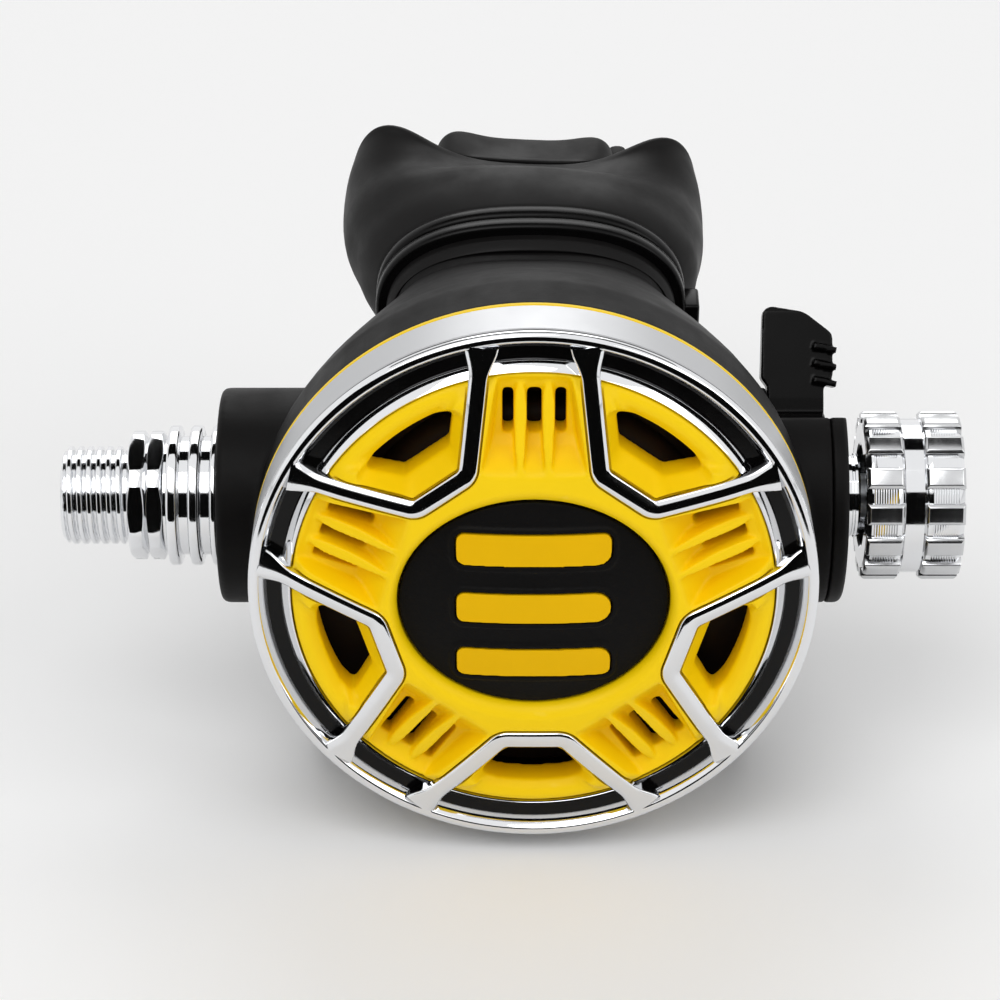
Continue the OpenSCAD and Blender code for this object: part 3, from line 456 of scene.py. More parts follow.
def to_linear(code):
    """An sRGB hex colour as linear values."""
    channels = [int(code[i:i + 2], 16) / 255 for i in (1, 3, 5)]
    return tuple(c / 12.92 if c <= 0.04045 else ((c + 0.055) / 1.055) ** 2.4 for c in channels)


def empty_tree(owner):
    """The emptied node tree of a material or a world."""
    owner.use_nodes = True
    owner.node_tree.nodes.clear()
    return owner.node_tree


def add_node(tree, kind, inputs=None, **settings):
    """Adds one node, sets its properties, and fills or links its inputs."""
    node = tree.nodes.new(kind)
    for key, value in settings.items():
        setattr(node, key, value)
    for socket, value in (inputs or {}).items():
        if isinstance(value, bpy.types.NodeSocket):
            tree.links.new(value, node.inputs[socket])
        else:
            node.inputs[socket].default_value = value
    return node


MATERIALS = {}


def surface(name, colour, rough, metallic=0.0, grain=0.3, depth=0.01, spread=0.06, shade=0.06,
            stretch=(1, 1, 1), ior=None, pattern="noise", edge_highlight=0.0, highlight_tint=None, gloss=0.5):
    """Adds a finish whose grain has a size in mm and a depth in mm. Its colour varies by shade, its
    roughness by spread, and its sharp edges carry a painted highlight towards another colour."""
    material = bpy.data.materials.new(name)
    tree = empty_tree(material)
    where = add_node(tree, "ShaderNodeTexCoord").outputs["Object"]
    place = add_node(tree, "ShaderNodeMapping", {"Vector": where, "Scale": stretch}).outputs["Vector"]
    fine = add_node(tree, "ShaderNodeTexNoise", {"Vector": place, "Scale": 1 / (grain * MM),
                                                 "Detail": 3.0, "Roughness": 0.55}).outputs["Fac"]
    # broad handling marks and uneven moulding, about 9 mm across
    broad = add_node(tree, "ShaderNodeTexNoise", {"Vector": place, "Scale": 1 / (9 * MM),
                                                  "Detail": 4.0, "Roughness": 0.6}).outputs["Fac"]
    height = fine
    if pattern == "pebble":
        cells = add_node(tree, "ShaderNodeTexVoronoi", {"Vector": place, "Scale": 1 / (grain * 2.2 * MM)})
        height = add_node(tree, "ShaderNodeMath", {0: cells.outputs["Distance"], 1: fine},
                          operation="ADD").outputs[0]
    low, high = max(0.02, rough - spread), min(1.0, rough + spread)
    shine = add_node(tree, "ShaderNodeMapRange", {"Value": broad, "From Min": 0.3, "From Max": 0.7,
                                                  "To Min": low, "To Max": high}).outputs["Result"]
    dark = tuple(c * (1 - shade) for c in colour) + (1,)
    light = tuple(min(1, c * (1 + shade)) for c in colour) + (1,)
    tone = add_node(tree, "ShaderNodeMix", {0: broad, 6: dark, 7: light}, data_type="RGBA").outputs[2]
    # painted highlight: sharp convex edges, found by pointiness, are lightened in broken patches towards
    # a paler tint
    if edge_highlight > 0:
        edge = add_node(tree, "ShaderNodeNewGeometry").outputs["Pointiness"]
        highlight_amount = add_node(tree, "ShaderNodeMapRange", {"Value": edge, "From Min": 0.53, "From Max": 0.62,
                                                    "To Min": 0.0, "To Max": edge_highlight}).outputs["Result"]
        broken = add_node(tree, "ShaderNodeMath", {0: highlight_amount, 1: broad}, operation="MULTIPLY").outputs[0]
        tone = add_node(tree, "ShaderNodeMix", {0: broken, 6: tone, 7: tuple(highlight_tint) + (1,)},
                        data_type="RGBA").outputs[2]
    bump = add_node(tree, "ShaderNodeBump", {"Height": height, "Strength": 1.0,
                                             "Distance": depth * MM}).outputs["Normal"]
    shader = add_node(tree, "ShaderNodeBsdfPrincipled", {"Base Color": tone, "Roughness": shine,
                                                         "Normal": bump, "Metallic": metallic})
    if ior:
        shader.inputs["IOR"].default_value = ior
    shader.inputs["Specular IOR Level"].default_value = gloss
    add_node(tree, "ShaderNodeOutputMaterial", {"Surface": shader.outputs[0]})
    MATERIALS[name] = material


def plain(name, inputs):
    """A material of one even tone, for the stage."""
    material = bpy.data.materials.new(name)
    tree = empty_tree(material)
    shader = add_node(tree, "ShaderNodeBsdfPrincipled", inputs)
    add_node(tree, "ShaderNodeOutputMaterial", {"Surface": shader.outputs[0]})
    return material


def make_materials(colours):
    """Fills the table of finishes."""
    yellow, black = tuple(colours.cover), tuple(colours.case)
    chrome, rubber = tuple(colours.chrome), tuple(colours.rubber)
    # bright nickel-chrome over ABS and brass: a mirror with the faintest orange peel
    surface("chrome_plate", chrome, 0.055, 1.0, grain=1.6, depth=0.0012, spread=0.02, shade=0.015)
    # satin chrome, vapour blasted before plating: a soft grey sheen with a fine grit
    surface("satin_chrome", tuple(c * 0.66 for c in chrome), 0.44, 1.0, grain=0.25, depth=0.006,
            spread=0.06, shade=0.05)
    # chrome brushed round the axis on the pads of the knob
    surface("brushed_chrome", tuple(c * 0.74 for c in chrome), 0.2, 1.0, grain=0.5, depth=0.002,
            spread=0.05, shade=0.05, stretch=(6, 0.5, 0.5))
    # turned brass under chrome: mirror with tool marks that run round the axis
    surface("turned_chrome", chrome, 0.07, 1.0, grain=0.6, depth=0.0012, spread=0.03, shade=0.02,
            stretch=(4, 0.6, 0.6))
    # moulded ABS in yellow, satin from an eroded mould, with a painted highlight in paler yellow on its
    # sharp edges
    surface("yellow_abs", yellow, 0.42, grain=0.3, depth=0.008, spread=0.06, shade=0.03, ior=1.54,
            edge_highlight=0.25, highlight_tint=to_linear("#FFE36B"), gloss=0.16)
    # glass-filled nylon in black, with the fine grit of its mould and a painted grey highlight on its
    # sharp edges
    surface("black_nylon", black, 0.5, grain=0.35, depth=0.014, spread=0.08, shade=0.15, ior=1.53,
            edge_highlight=0.25, highlight_tint=to_linear("#2E2C2E"), gloss=0.08)
    # acetal in black, smoother than the case, with a painted grey highlight on its sharp edges
    surface("black_acetal", tuple(c * 0.4 for c in black), 0.24, grain=0.4, depth=0.005, spread=0.06,
            shade=0.1, ior=1.48, edge_highlight=0.25, highlight_tint=to_linear("#242325"), gloss=0.13)
    # polished black, painted over the floor of the ring's chrome trough as its dark reflection, and the
    # dark seam behind the lip
    surface("black_gloss", tuple(c * 0.5 for c in black), 0.14, grain=0.6, depth=0.002, spread=0.04,
            shade=0.1, ior=1.48, gloss=0.2)
    # silicone rubber: matt with a waxy sheen and a few dull patches
    surface("black_silicone", rubber, 0.52, grain=0.5, depth=0.006, spread=0.1, shade=0.15, ior=1.41,
            gloss=0.19)
    # thermoplastic rubber with a pebbled skin that gives grip
    surface("pebbled_rubber", tuple(c * 0.75 for c in rubber), 0.55, grain=0.22, depth=0.03, spread=0.06,
            shade=0.15, ior=1.5, pattern="pebble", gloss=0.1)
    # yellow nylon of the button's bars, a shade deeper than the cover
    surface("yellow_nylon", tuple(colours.bars), 0.4, grain=0.25, depth=0.012, spread=0.06, shade=0.04,
            ior=1.53, gloss=0.08)
    # machined brass, uncoated
    surface("brass", to_linear("#B89A5A"), 0.25, 1.0, grain=0.3, depth=0.004, stretch=(4, 0.6, 0.6))
    # drawn and pressed stainless steel
    surface("stainless", to_linear("#B9BCC0"), 0.28, 1.0, grain=0.3, depth=0.004)
    # acetal in natural white
    surface("white_acetal", to_linear("#E4E4DE"), 0.4, grain=0.4, depth=0.006, ior=1.48)
    # thin silicone of the membrane and the exhaust flap
    surface("grey_silicone", to_linear("#221A16"), 0.5, grain=0.5, depth=0.006, ior=1.41, gloss=0.2)
    # nitrile rubber of the sealing rings
    surface("nitrile", to_linear("#1C1C1E"), 0.5, grain=0.3, depth=0.004, ior=1.52)


# ---------- sizes and colours ----------

class RegulatorColours(bpy.types.PropertyGroup):
    """Colours of the regulator's finishes"""
    cover: bpy.props.FloatVectorProperty(
        name="Cover", description="Yellow of the moulded cover", subtype="COLOR", size=3, min=0, max=1,
        default=to_linear("#FCD304"))
    bars: bpy.props.FloatVectorProperty(
        name="Bars", description="Yellow of the purge button's bars", subtype="COLOR", size=3, min=0,
        max=1, default=to_linear("#E9B600"))
    case: bpy.props.FloatVectorProperty(
        name="Case", description="Black of the moulded case", subtype="COLOR", size=3, min=0, max=1,
        default=to_linear("#0D0C0C"))
    rubber: bpy.props.FloatVectorProperty(
        name="Rubber", description="Black of the mouthpiece", subtype="COLOR", size=3, min=0, max=1,
        default=to_linear("#0F0E0E"))
    chrome: bpy.props.FloatVectorProperty(
        name="Chrome", description="Colour of the chrome plate", subtype="COLOR", size=3, min=0, max=1,
        default=to_linear("#E6E7E9"))


class CoverSizes(bpy.types.PropertyGroup):
    """Sizes of the cover's chrome and yellow pieces"""
    lip: bpy.props.FloatProperty(
        name="Lip", description="Width of the ring's bright front lip", unit="LENGTH",
        default=1.45 * MM, min=1 * MM, max=1.8 * MM)
    band: bpy.props.FloatProperty(
        name="Band", description="Width of the chrome loops", unit="LENGTH", default=2.55 * MM,
        min=1.5 * MM, max=2.8 * MM)
    flare: bpy.props.FloatProperty(
        name="Flare", description="How much wider each band is where it leaves the ring",
        unit="LENGTH", default=2.2 * MM, min=0.0, max=3 * MM)
    rib: bpy.props.FloatProperty(
        name="Rib", description="Thickness of the ribs in the gaps", unit="LENGTH", default=1.7 * MM,
        min=1.2 * MM, max=2.2 * MM)


class InletSizes(bpy.types.PropertyGroup):
    """Sizes of the hose inlet"""
    pitch: bpy.props.FloatProperty(
        name="Pitch", description="Pitch of the hose thread", unit="LENGTH", default=1.411 * MM,
        min=1 * MM, max=2 * MM)
    tooth: bpy.props.FloatProperty(
        name="Tooth", description="Depth of the hose thread", unit="LENGTH", default=0.72 * MM,
        min=0.3 * MM, max=0.9 * MM)


class KnobSizes(bpy.types.PropertyGroup):
    """Sizes of the adjusting knob"""
    pads: bpy.props.IntProperty(
        name="Pads", description="Grip pads around each land", default=14, min=12, max=16)
    groove: bpy.props.FloatProperty(
        name="Groove", description="Depth of the grooves between the pads", unit="LENGTH",
        default=0.75 * MM, min=0.3 * MM, max=1.2 * MM)
    ridge: bpy.props.FloatProperty(
        name="Ridge", description="Pitch of the fine ridges in the grooves", unit="LENGTH",
        default=0.36 * MM, min=0.2 * MM, max=0.8 * MM)


# ---------- chrome cover ----------

STRIP_IN = 33.5         # inner edge of the chrome ring, where the yellow cover starts

BAND_PATH = [(34.25, 16.15), (21.25, 4.35), (21.25, -4.35), (34.25, -16.15)]


def band_frames(step):
    """Points along one loop's centre line, its two corners rounded, with the way across it."""
    line = rounded(BAND_PATH, [0, 2.2, 2.2, 0], steps=8)
    made = [line[0]]
    for a, b in zip(line, line[1:]):
        count = max(1, round((b - a).length / step))
        made += [a.lerp(b, (k + 1) / count) for k in range(count)]
    last = len(made) - 1
    headings = [(made[min(i + 1, last)] - made[max(i - 1, 0)]).normalized() for i in range(last + 1)]
    return [(p, Vector((-heading.y, heading.x))) for p, heading in zip(made, headings)]


def folds(first):
    """The angle of each fold of the cover in degrees, from the first one on."""
    return [first + FOLD * i for i in range(FOLDS)]


def carve_folds(obj, tool, first, way="DIFFERENCE"):
    """Carves a closed piece with copies of a tool at each fold, one after another."""
    for angle in folds(first):
        copy = turn(twin(tool, tool.name + "_copy"), angle, "Y", on_cover(0, 0, 0))
        carve(obj, tidy_mesh(copy), way, closed=True)
    bpy.data.objects.remove(tool)


class REGULATOR_OT_chrome_cover(bpy.types.Operator):
    """Build the chrome ring with its five loops and its satin side band"""
    bl_idname = "regulator.chrome_cover"
    bl_label = "Chrome Cover"

    def execute(self, context):
        sizes = context.scene.regulator_cover
        r = RING_R
        lip_in = r - sizes.lip / MM
        strip = STRIP_IN
        cover = cover_lathe("chrome_cover", [
            (r - 0.9, -2.9), (r - 0.9, -1.2), (r - 0.12, -1.1), (r - 0.02, -0.98), (r - 0.02, -0.75),
            (r - 0.12, -0.42), (r - 0.34, -0.14), (r - 0.62, 0.02), (r - 0.9, 0.08),
            (lip_in + 0.25, 0.08), (lip_in + 0.1, 0.04), (lip_in - 0.02, -0.06), (lip_in - 1.05, -1.5),
            (lip_in - 1.2, -1.9), (lip_in - 1.3, -2.1), (strip + 1.5, -2.1), (strip + 1.4, -1.4),
            (strip + 1.3, -1.25), (strip + 0.4, -0.28), (strip + 0.2, -0.12), (strip + 0.05, -0.2),
            (strip, -0.4), (strip, -2.9)], 180)
        rings = []
        for p, across in band_frames(0.7):
            flare = ease(33.8, 38.2, p.length) * sizes.flare / MM
            half = sizes.band / MM / 2 + flare / 2
            fall = max(0.0, min(1.0, (p.length - 31) / 7.2))
            top = dome(min(p.length, 31)) * (1 - fall) + 0.08 * fall
            deep = 1.9 + 1.2 * ease(33, 35, p.length)
            section = [(-half, -deep), (half, -deep), (half, -0.75), (half - 0.06, -0.6),
                       (half - 0.2, -0.47), (half - 0.85, -0.14), (half - 1.05, -0.06)]
            section += [(half - 1.05 - (2 * half - 1.35) * k / 5,
                         -0.06 + 0.06 * math.sin(math.pi * k / 5)) for k in range(1, 6)]
            section += [(0.16 - half, -0.16), (0.04 - half, -0.28), (-half, -0.45)]
            rings.append([on_cover(*(p + across * u), top + v) for u, v in section])
        carve_folds(cover, skin("chrome_loop", rings), WINDOWS_AT, "UNION")
        finish_piece(smooth(cover, 42), "housing", "chrome_plate", "cover_ring")
        # painted reflection: a black ring laid over the floor of the chrome trough stands in for the dark
        # it reflects; the seam is the dark joint between the side band and the lip
        trough = cover_lathe("painted_trough_reflection", [
            (strip + 1.3, -2.15), (strip + 1.35, -1.8), (lip_in - 1.1, -1.72),
            (lip_in - 1.0, -2.15)], 120)
        seam = cover_lathe("band_seam", [
            (38.0, -1.8), (r - 0.14, -1.8), (r - 0.14, -0.95), (38.0, -0.95)], 180)
        finish_piece(smooth(merge(trough, seam), 30), "housing", "black_gloss", "cover_ring")
        band = cover_lathe("ring_side_band", [
            (38.15, -9.2), (r - 0.12, -9.2), (r, -9.05), (r, -1.7), (r - 0.12, -1.5),
            (38.15, -1.48)], 180)
        finish_piece(smooth(band, 30), "housing", "satin_chrome", "cover_ring")
        return {"FINISHED"}


# ---------- yellow cover ----------

WINDOW_OUT = STRIP_IN - 0.15
WELL_W, WELL_H = 18.8, 15.8     # half width and half height of the button's well


def face_height(r):
    """Height of the yellow cover's face, which rolls down at its edge to meet the ring."""
    return (dome(r) - 0.55) * (1 - ease(31.2, 33.9, r)) - 0.35 * ease(31.2, 33.9, r)


def window_shape(inner, outer, radius, end, round_in, round_out):
    """Outline of a window: two inner corners, two outer ones and an arc."""
    angle = math.asin(end / radius)
    arc = [(radius * math.cos(angle * k / 5), radius * math.sin(angle * k / 5)) for k in range(-4, 5)]
    points = [inner, (inner[0], -inner[1]), (outer[0], -outer[1]), *arc, outer]
    return rounded(points, [round_in, round_in, round_out] + [0] * 9 + [round_out])


class REGULATOR_OT_yellow_cover(bpy.types.Operator):
    """Build the yellow cover with its windows and ribbed gaps, and its rim behind the ring"""
    bl_idname = "regulator.yellow_cover"
    bl_label = "Yellow Cover"

    def execute(self, context):
        sizes = context.scene.regulator_cover
        edge = STRIP_IN - 0.12
        profile = [(0, -5.2), (34.9, -5.2), (34.9, -3.0), (edge, -3.0), (edge, face_height(edge) - 0.3)]
        profile += [(r, face_height(r)) for r in (33.2, 32.9, 32.4, 31.8, 31, 30, 27, 24, 21, 18, 14,
                                                  9, 4, 0)]
        face = cover_lathe("yellow_cover", profile, 120)
        # windows: funnels that fall smoothly from the bands to their holes
        centre, count, hole_h = Vector((28.2, 0)), 96, -0.9
        wide = inside(window_shape((22.3, 3.8), (32.6, 12.9), WINDOW_OUT, 13.6, 1.0, 1.0), centre, count)
        narrow = inside(window_shape((24.8, 3.75), (28.9, 7.5), 30.3, 6.2, 0.5, 0.6), centre, count)
        rings = [at_height(narrow, -8), at_height(narrow, hole_h - 0.5)]
        for share, rise in ((0.0, 0.0), (0.04, 0.08), (0.2, 0.22), (0.4, 0.42), (0.6, 0.63), (0.78, 0.83),
                            (0.88, 0.94), (0.96, 0.99), (1.0, 1.05)):
            ring = [a.lerp(b, share) for a, b in zip(narrow, wide)]
            rings.append([on_cover(*p, hole_h + (face_height(p.length) - hole_h) * rise)
                          for p in ring])
        rings.append(at_height(wide, 9))
        window = skin("window", rings)
        carve(face, around(window, folds(WINDOWS_AT)), closed=True)
        # ribbed gaps
        side = [(18.2, 7), (18.2, 4.9), (19.2, 4.1), (20.2, 3.2), (21.4, 1.4), (22.8, -0.4),
                (24.0, -1.35), (31.0, -1.5), (32.0, -1.1), (33.0, -0.35), (34.0, -0.3), (34.0, 7)]
        pocket = side_prism("pocket", side, -9, 9)
        low, high = [[(17, -6.4), (33.0, -4.5), (40, -4.5), (40, 4.5), (33.0, 4.5), (17, 6.4)],
                     [(16.4, -7.6), (33.0, -5.7), (40, -5.7), (40, 5.7), (33.0, 5.7), (16.4, 7.6)]]
        plan = skin("plan", [at_height(low, -12), at_height(low, -1.6), at_height(high, 3.4),
                             at_height(high, 12)])
        carve(pocket, plan, "INTERSECT")
        half = sizes.rib / MM / 2
        leaf = [(16.8, 0.12), (19.5, 0.38), (23, 0.8), (26.5, 1), (29, 1), (30.6, 0.85), (31.8, 0.4)]
        crown = [(15, -14), (15, 4.6), (19.0, 3.9), (22, 2.7), (25.5, 1.2), (29, 0.2), (31, -0.5),
                 (32.2, -1.0), (32.2, -14)]
        for middle in (-1.9, 1.9):
            outline = [(x, middle + w * half) for x, w in leaf]
            outline += [(x, middle - w * half) for x, w in reversed(leaf)]
            blade = cover_prism("blade", outline, -12, 12)
            carve(blade, side_prism("crown", crown, middle - 3, middle + 3), "INTERSECT")
            carve(pocket, blade)
        for low, high in ((-1.0, 1.0), (2.8, 4.3), (-4.3, -2.8)):
            slot = rounded([(24.1, low), (30.6, low), (30.6, high), (24.1, high)], [0.15] * 4, 3)
            carve(pocket, cover_prism("slot", slot, -9, -0.5), "UNION")
        carve(face, around(pocket, folds(GAPS_AT)), closed=True)
        # well of the purge button, with its round lip
        well = [(0, -4.9), (0, 1.9), (0.1, 2.5), (0.4, 3.1), (0.9, 3.55), (1.7, 3.95), (2.8, 4.35),
                (3.6, 8)]
        rings = [at_height(oval(WELL_W + g, WELL_H + g, 2, 72), h) for g, h in well]
        carve(face, skin("well", rings), closed=True)
        carve(face, cover_lathe("guide", [(0, -9), (5.1, -9), (5.1, 2), (0, 2)], 48), closed=True)
        mould(face, 0.25, 10)
        # the fine shadow gap beside each band
        half = sizes.band / MM / 2 + 0.24
        square = ((-half, -1.75), (half, -1.75), (half, 2), (-half, 2))
        rings = [[on_cover(*(p + across * u), dome(p.length) + v) for u, v in square]
                 for p, across in band_frames(1.2)]
        carve_folds(face, skin("groove", rings), WINDOWS_AT)
        finish_piece(smooth(face, 55), "housing", "yellow_abs", "front_cover")
        rim = cover_lathe("yellow_rim", [
            (36.75, -10.2), (RING_R - 0.15, -10.2), (RING_R, -10.05), (RING_R, -9.45),
            (RING_R - 0.15, -9.28), (38.0, -9.28), (38.0, -3.5), (36.75, -3.5)], 160)
        finish_piece(smooth(rim, 30), "housing", "yellow_abs", "front_cover")
        return {"FINISHED"}


# ---------- purge button ----------

class REGULATOR_OT_purge_button(bpy.types.Operator):
    """Build the oval rubber pad and the button's three yellow bars"""
    bl_idname = "regulator.purge_button"
    bl_label = "Purge Button"

    def execute(self, context):
        moulded("purge_pad", "oval_pad", 0.19, 3, "purge", "pebbled_rubber")
        bars = mould(from_solid("purge_core", "button_bars"), 0.2, 3)
        edit(bars)
        bpy.ops.transform.shrink_fatten(value=-0.17 * MM)
        rest()
        finish_piece(bars, "purge", "yellow_nylon", "purge_core")
        return {"FINISHED"}


# ---------- case ----------

class REGULATOR_OT_case(bpy.types.Operator):
    """Build the moulded case, the cap on its right boss and the exhaust tee"""
    bl_idname = "regulator.case"
    bl_label = "Case"

    def execute(self, context):
        for node, name, voxel, rounds in (("case", "moulded_case", 0.42, 4),
                                          ("side_cap", "boss_cap", 0.25, 3),
                                          ("exhaust_tee", "moulded_tee", 0.35, 4)):
            moulded(node, name, voxel, rounds, "housing", "black_nylon")
        return {"FINISHED"}


# ---------- inlet ----------

MOUTH_X = -AXIS_X / MM                      # open end of the hose inlet
THREAD_R, THREAD_L, THREAD_COUNT = 7.145, 9.9, 96
HEX_X, HEX_L = MOUTH_X + 9.7, 5.2
HEX_FLATS, HEX_R, HEX_TURN = 17.5, 9.45, math.radians(11)
FINS, FIN_PITCH, FIN_X = 3, 3.1, -44.9 - 0.1 - 7.4


class REGULATOR_OT_inlet(bpy.types.Operator):
    """Build the threaded hose inlet, its hexagon in two lands and the cooling fins"""
    bl_idname = "regulator.inlet"
    bl_label = "Inlet"

    def execute(self, context):
        sizes = context.scene.regulator_inlet
        pitch, tooth = sizes.pitch / MM, sizes.tooth / MM
        angles = [2 * math.pi * k / THREAD_COUNT for k in range(THREAD_COUNT)]
        inner = [(4.6, MOUTH_X + 6), (4.6, MOUTH_X + 0.25), (4.85, MOUTH_X)]
        rings = [[on_barrel(t, r * math.cos(a), r * math.sin(a)) for a in angles] for r, t in inner]
        steps = 150
        for i in range(steps + 1):
            t = THREAD_L * i / steps
            ring = []
            for k, a in enumerate(angles):
                phase = (t / pitch - k / THREAD_COUNT) % 1.0
                ridge = 1 - abs(2 * phase - 1)
                form = min(1.0, max(0.0, (ridge - 0.12) / 0.62))
                form = math.sin(form * math.pi / 2)
                r = THREAD_R - tooth * (1 - form * ease(0, 0.4, t) * (1 - ease(8.75, 9.2, t)))
                r = min(r, THREAD_R - 0.85 + 1.1 * t) if t < 0.8 else r
                ring.append(on_barrel(MOUTH_X + t, r * math.cos(a), r * math.sin(a)))
            rings.append(ring)
        thread = smooth(skin("hose_thread", rings), 50)
        corner = HEX_FLATS / math.sqrt(3)
        outline = [on_barrel(HEX_X, corner * math.sin(HEX_TURN + k * math.pi / 3),
                             corner * math.cos(HEX_TURN + k * math.pi / 3)) for k in range(6)]
        hexagon = prism("inlet_hexagon", outline, on_barrel(HEX_L, 0, 0) - on_barrel(0, 0, 0))
        # turned corners, and the groove between the two lands
        r = HEX_R
        profile = [(0, -0.01), (r - 0.9, -0.01), (r, 0.5), (r, 2.1), (r - 1.25, 2.6), (r, 3.1), (r, 4.7),
                   (r - 0.9, HEX_L + 0.01), (0, HEX_L + 0.01)]
        turning = barrel_lathe("turning", [(r, HEX_X + x) for r, x in profile])
        hexagon = bevel(carve(hexagon, turning, "INTERSECT"), 0.1, 2, 28)
        core_x = HEX_X + HEX_L
        shank = barrel_lathe("inlet_shank", [
            (0, -14), (6, -14), (6, core_x + 0.45), (8.1, core_x + 0.45), (8.2, core_x + 0.35),
            (8.2, core_x - 0.2), (0, core_x - 0.2)])
        for piece in (thread, smooth(hexagon, 30), smooth(shank, 35)):
            finish_piece(piece, "housing", "turned_chrome", "inlet_connector")
        profile = [(6.1, FIN_X + 7.4), (6.1, FIN_X)]
        for i in range(FINS):
            x, wide = FIN_X + i * FIN_PITCH, 1.65 if i < FINS - 1 else 1.2
            profile += [(9.75, x), (10.02, x + 0.08), (10.18, x + 0.32), (10.2, x + 0.5),
                        (10.2, x + wide - 0.5), (10.18, x + wide - 0.32), (10.02, x + wide - 0.08),
                        (9.75, x + wide)]
            if i < FINS - 1:
                profile += [(8.8, x + wide), (8.65, x + wide + 0.12), (8.65, x + 2.98),
                            (8.8, x + FIN_PITCH)]
        fins = smooth(barrel_lathe("cooling_fin_stack", profile, 128), 40)
        finish_piece(fins, "housing", "turned_chrome", "cooling_fins")
        return {"FINISHED"}


# ---------- knob ----------

KNOB_X, KNOB_L, KNOB_R = 47.7, 14, 12.15
LANDS = ((KNOB_X, 5.35), (KNOB_X + 8.35, 5.65))     # start and length of each fluted land


class REGULATOR_OT_knob(bpy.types.Operator):
    """Build the knob with its two lands of grip pads, its waist and the collar behind it"""
    bl_idname = "regulator.knob"
    bl_label = "Knob"

    def execute(self, context):
        sizes = context.scene.regulator_knob
        count, groove, ridge = sizes.pads, sizes.groove / MM, sizes.ridge / MM
        floor, end = KNOB_R - groove, KNOB_X + KNOB_L
        profile = [(7.4, KNOB_X + 3.2), (7.4, KNOB_X + 0.3), (7.7, KNOB_X), (floor - 0.9, KNOB_X),
                   (floor - 0.1, KNOB_X + 0.7)]
        for n, (x, length) in enumerate(LANDS):
            ridges = int((length - 1.9) / ridge)
            for k in range(ridges + 1):
                t = x + 0.95 + ridge * k
                profile += [(floor - 0.07, t), (floor + 0.03, t + ridge / 2)]
            if n == 0:
                profile += [(floor - 0.1, x + length - 0.4), (11.0, x + length - 0.1),
                            (11.2, x + length + 0.15), (11.2, KNOB_X + 8.2), (11.0, KNOB_X + 8.45),
                            (floor - 0.1, KNOB_X + 8.75)]
        profile += [(floor - 0.1, end - 0.7), (floor - 0.9, end), (5.6, end), (5.3, end - 0.15),
                    (5, end - 0.6), (5, end - 1.6), (0, end - 1.6), (0, KNOB_X + 3.2)]
        knob = smooth(barrel_lathe("chrome_knob", profile, 112), 35)
        step = 2 * math.pi / count
        pads = []
        for x, length in LANDS:
            half = KNOB_R * math.sin(step * 0.28)
            pad = block("pad", (x + 0.02, -half, floor - 1.0), (x + length - 0.02, half, KNOB_R))
            open_faces(pad, lambda face: face.normal.z > 0.9)
            bpy.ops.mesh.inset(thickness=0.42 * MM, depth=0.0)
            bpy.ops.mesh.select_more()
            rest()
            # the pad's shoulders fall away all round its flat top
            for vertex in pad.data.vertices:
                outside = (abs(vertex.co.y) > (half - 0.2) * MM
                           or vertex.co.x < AXIS_X + (x + 0.3) * MM
                           or vertex.co.x > AXIS_X + (x + length - 0.3) * MM)
                if vertex.co.z > (KNOB_R - 0.1) * MM and outside:
                    vertex.co.z -= 0.4 * MM
            bevel(pad, 0.09, 2, 20)
            pads.append(around(pad, [360 * k / count for k in range(count)], "X", on_barrel(0, 0, 0)))
        finish_piece(knob, "knob_body", "turned_chrome", "knob")
        for n, pad in enumerate(pads):
            pad.name = pad.data.name = f"knob_pads_{n}"
            finish_piece(smooth(pad, 35), "knob_body", "brushed_chrome", "knob")
        collar = barrel_lathe("packing_collar", [
            (3.3, 36.2), (5.5, 36.2), (5.5, 44.0), (7.05, 44.0), (7.05, 45.2), (6.9, 45.4), (6.15, 45.6),
            (6.15, 46.1), (5.9, 46.25), (5.9, 46.5), (6.15, 46.62), (6.15, 46.95), (5.85, 47.3),
            (3.3, 47.3)], 80)
        finish_piece(smooth(collar, 35), "housing", "turned_chrome", "packing_nut")
        return {"FINISHED"}


# ---------- venturi lever ----------

class REGULATOR_OT_venturi_lever(bpy.types.Operator):
    """Build the venturi lever with its hub and its three finger ribs"""
    bl_idname = "regulator.venturi_lever"
    bl_label = "Venturi Lever"

    def execute(self, context):
        moulded("venturi_lever", "finger_lever", 0.2, 3, "venturi", "black_acetal")
        return {"FINISHED"}


# ---------- mouthpiece ----------

FLANGE_W, FLANGE_BACK, MOUTH_ROLL = 26.7, 32.0, 3.0

# half width, half height, squareness, distance along the neck, dip of the long edges, sweep of the sides
MOUTH_OUTSIDE = [
    (20.9, 13.4, 2.5, 2.0, 0, 0), (21.2, 13.7, 2.4, 2.3, 0, 0), (21.65, 14.15, 2.4, 3.4, 0, 0),
    (21.7, 14.2, 2.4, 4.7, 0, 0), (21.7, 14.2, 2.4, 10.7, 0, 0), (22.8, 15.0, 2.4, 11.1, 0, 0),
    (25.3, 15.7, 2.3, 15, 0, 0), (26.4, 16.1, 2.2, 19, 0.02, 0), (27.6, 16.4, 2.2, 23, 0.08, 0.8),
    (28.0, 16.4, 2.2, 26.5, 0.24, 2.9), (27.8, 17.6, 2.45, 29.4, 0.38, 4.9),
    (27.2, 18.6, 2.7, 31.1, 0.47, 6.2), (26.8, 19.1, 2.9, 32, 0.5, 6.5),
    (26.2, 18.85, 2.9, 32.8, 0.5, 6.5), (25.4, 18.0, 2.8, 33.3, 0.5, 6.5),
    (24.3, 16.8, 2.7, 33.45, 0.48, 6.4), (20.5, 12, 2.4, 33.7, 0.2, 5.8),
    (16.8, 10.6, 2.7, 34, 0.13, 2.4), (15.2, 10.5, 3.1, 34.9, 0.13, 0.8), (14.5, 10.8, 3.6, 36, 0.2, 0),
    (14.3, 11.2, 4, 41, 0.25, 0), (13.9, 10.9, 4, 42.2, 0.25, 0), (13.0, 9.9, 4, 42.6, 0.22, 0)]
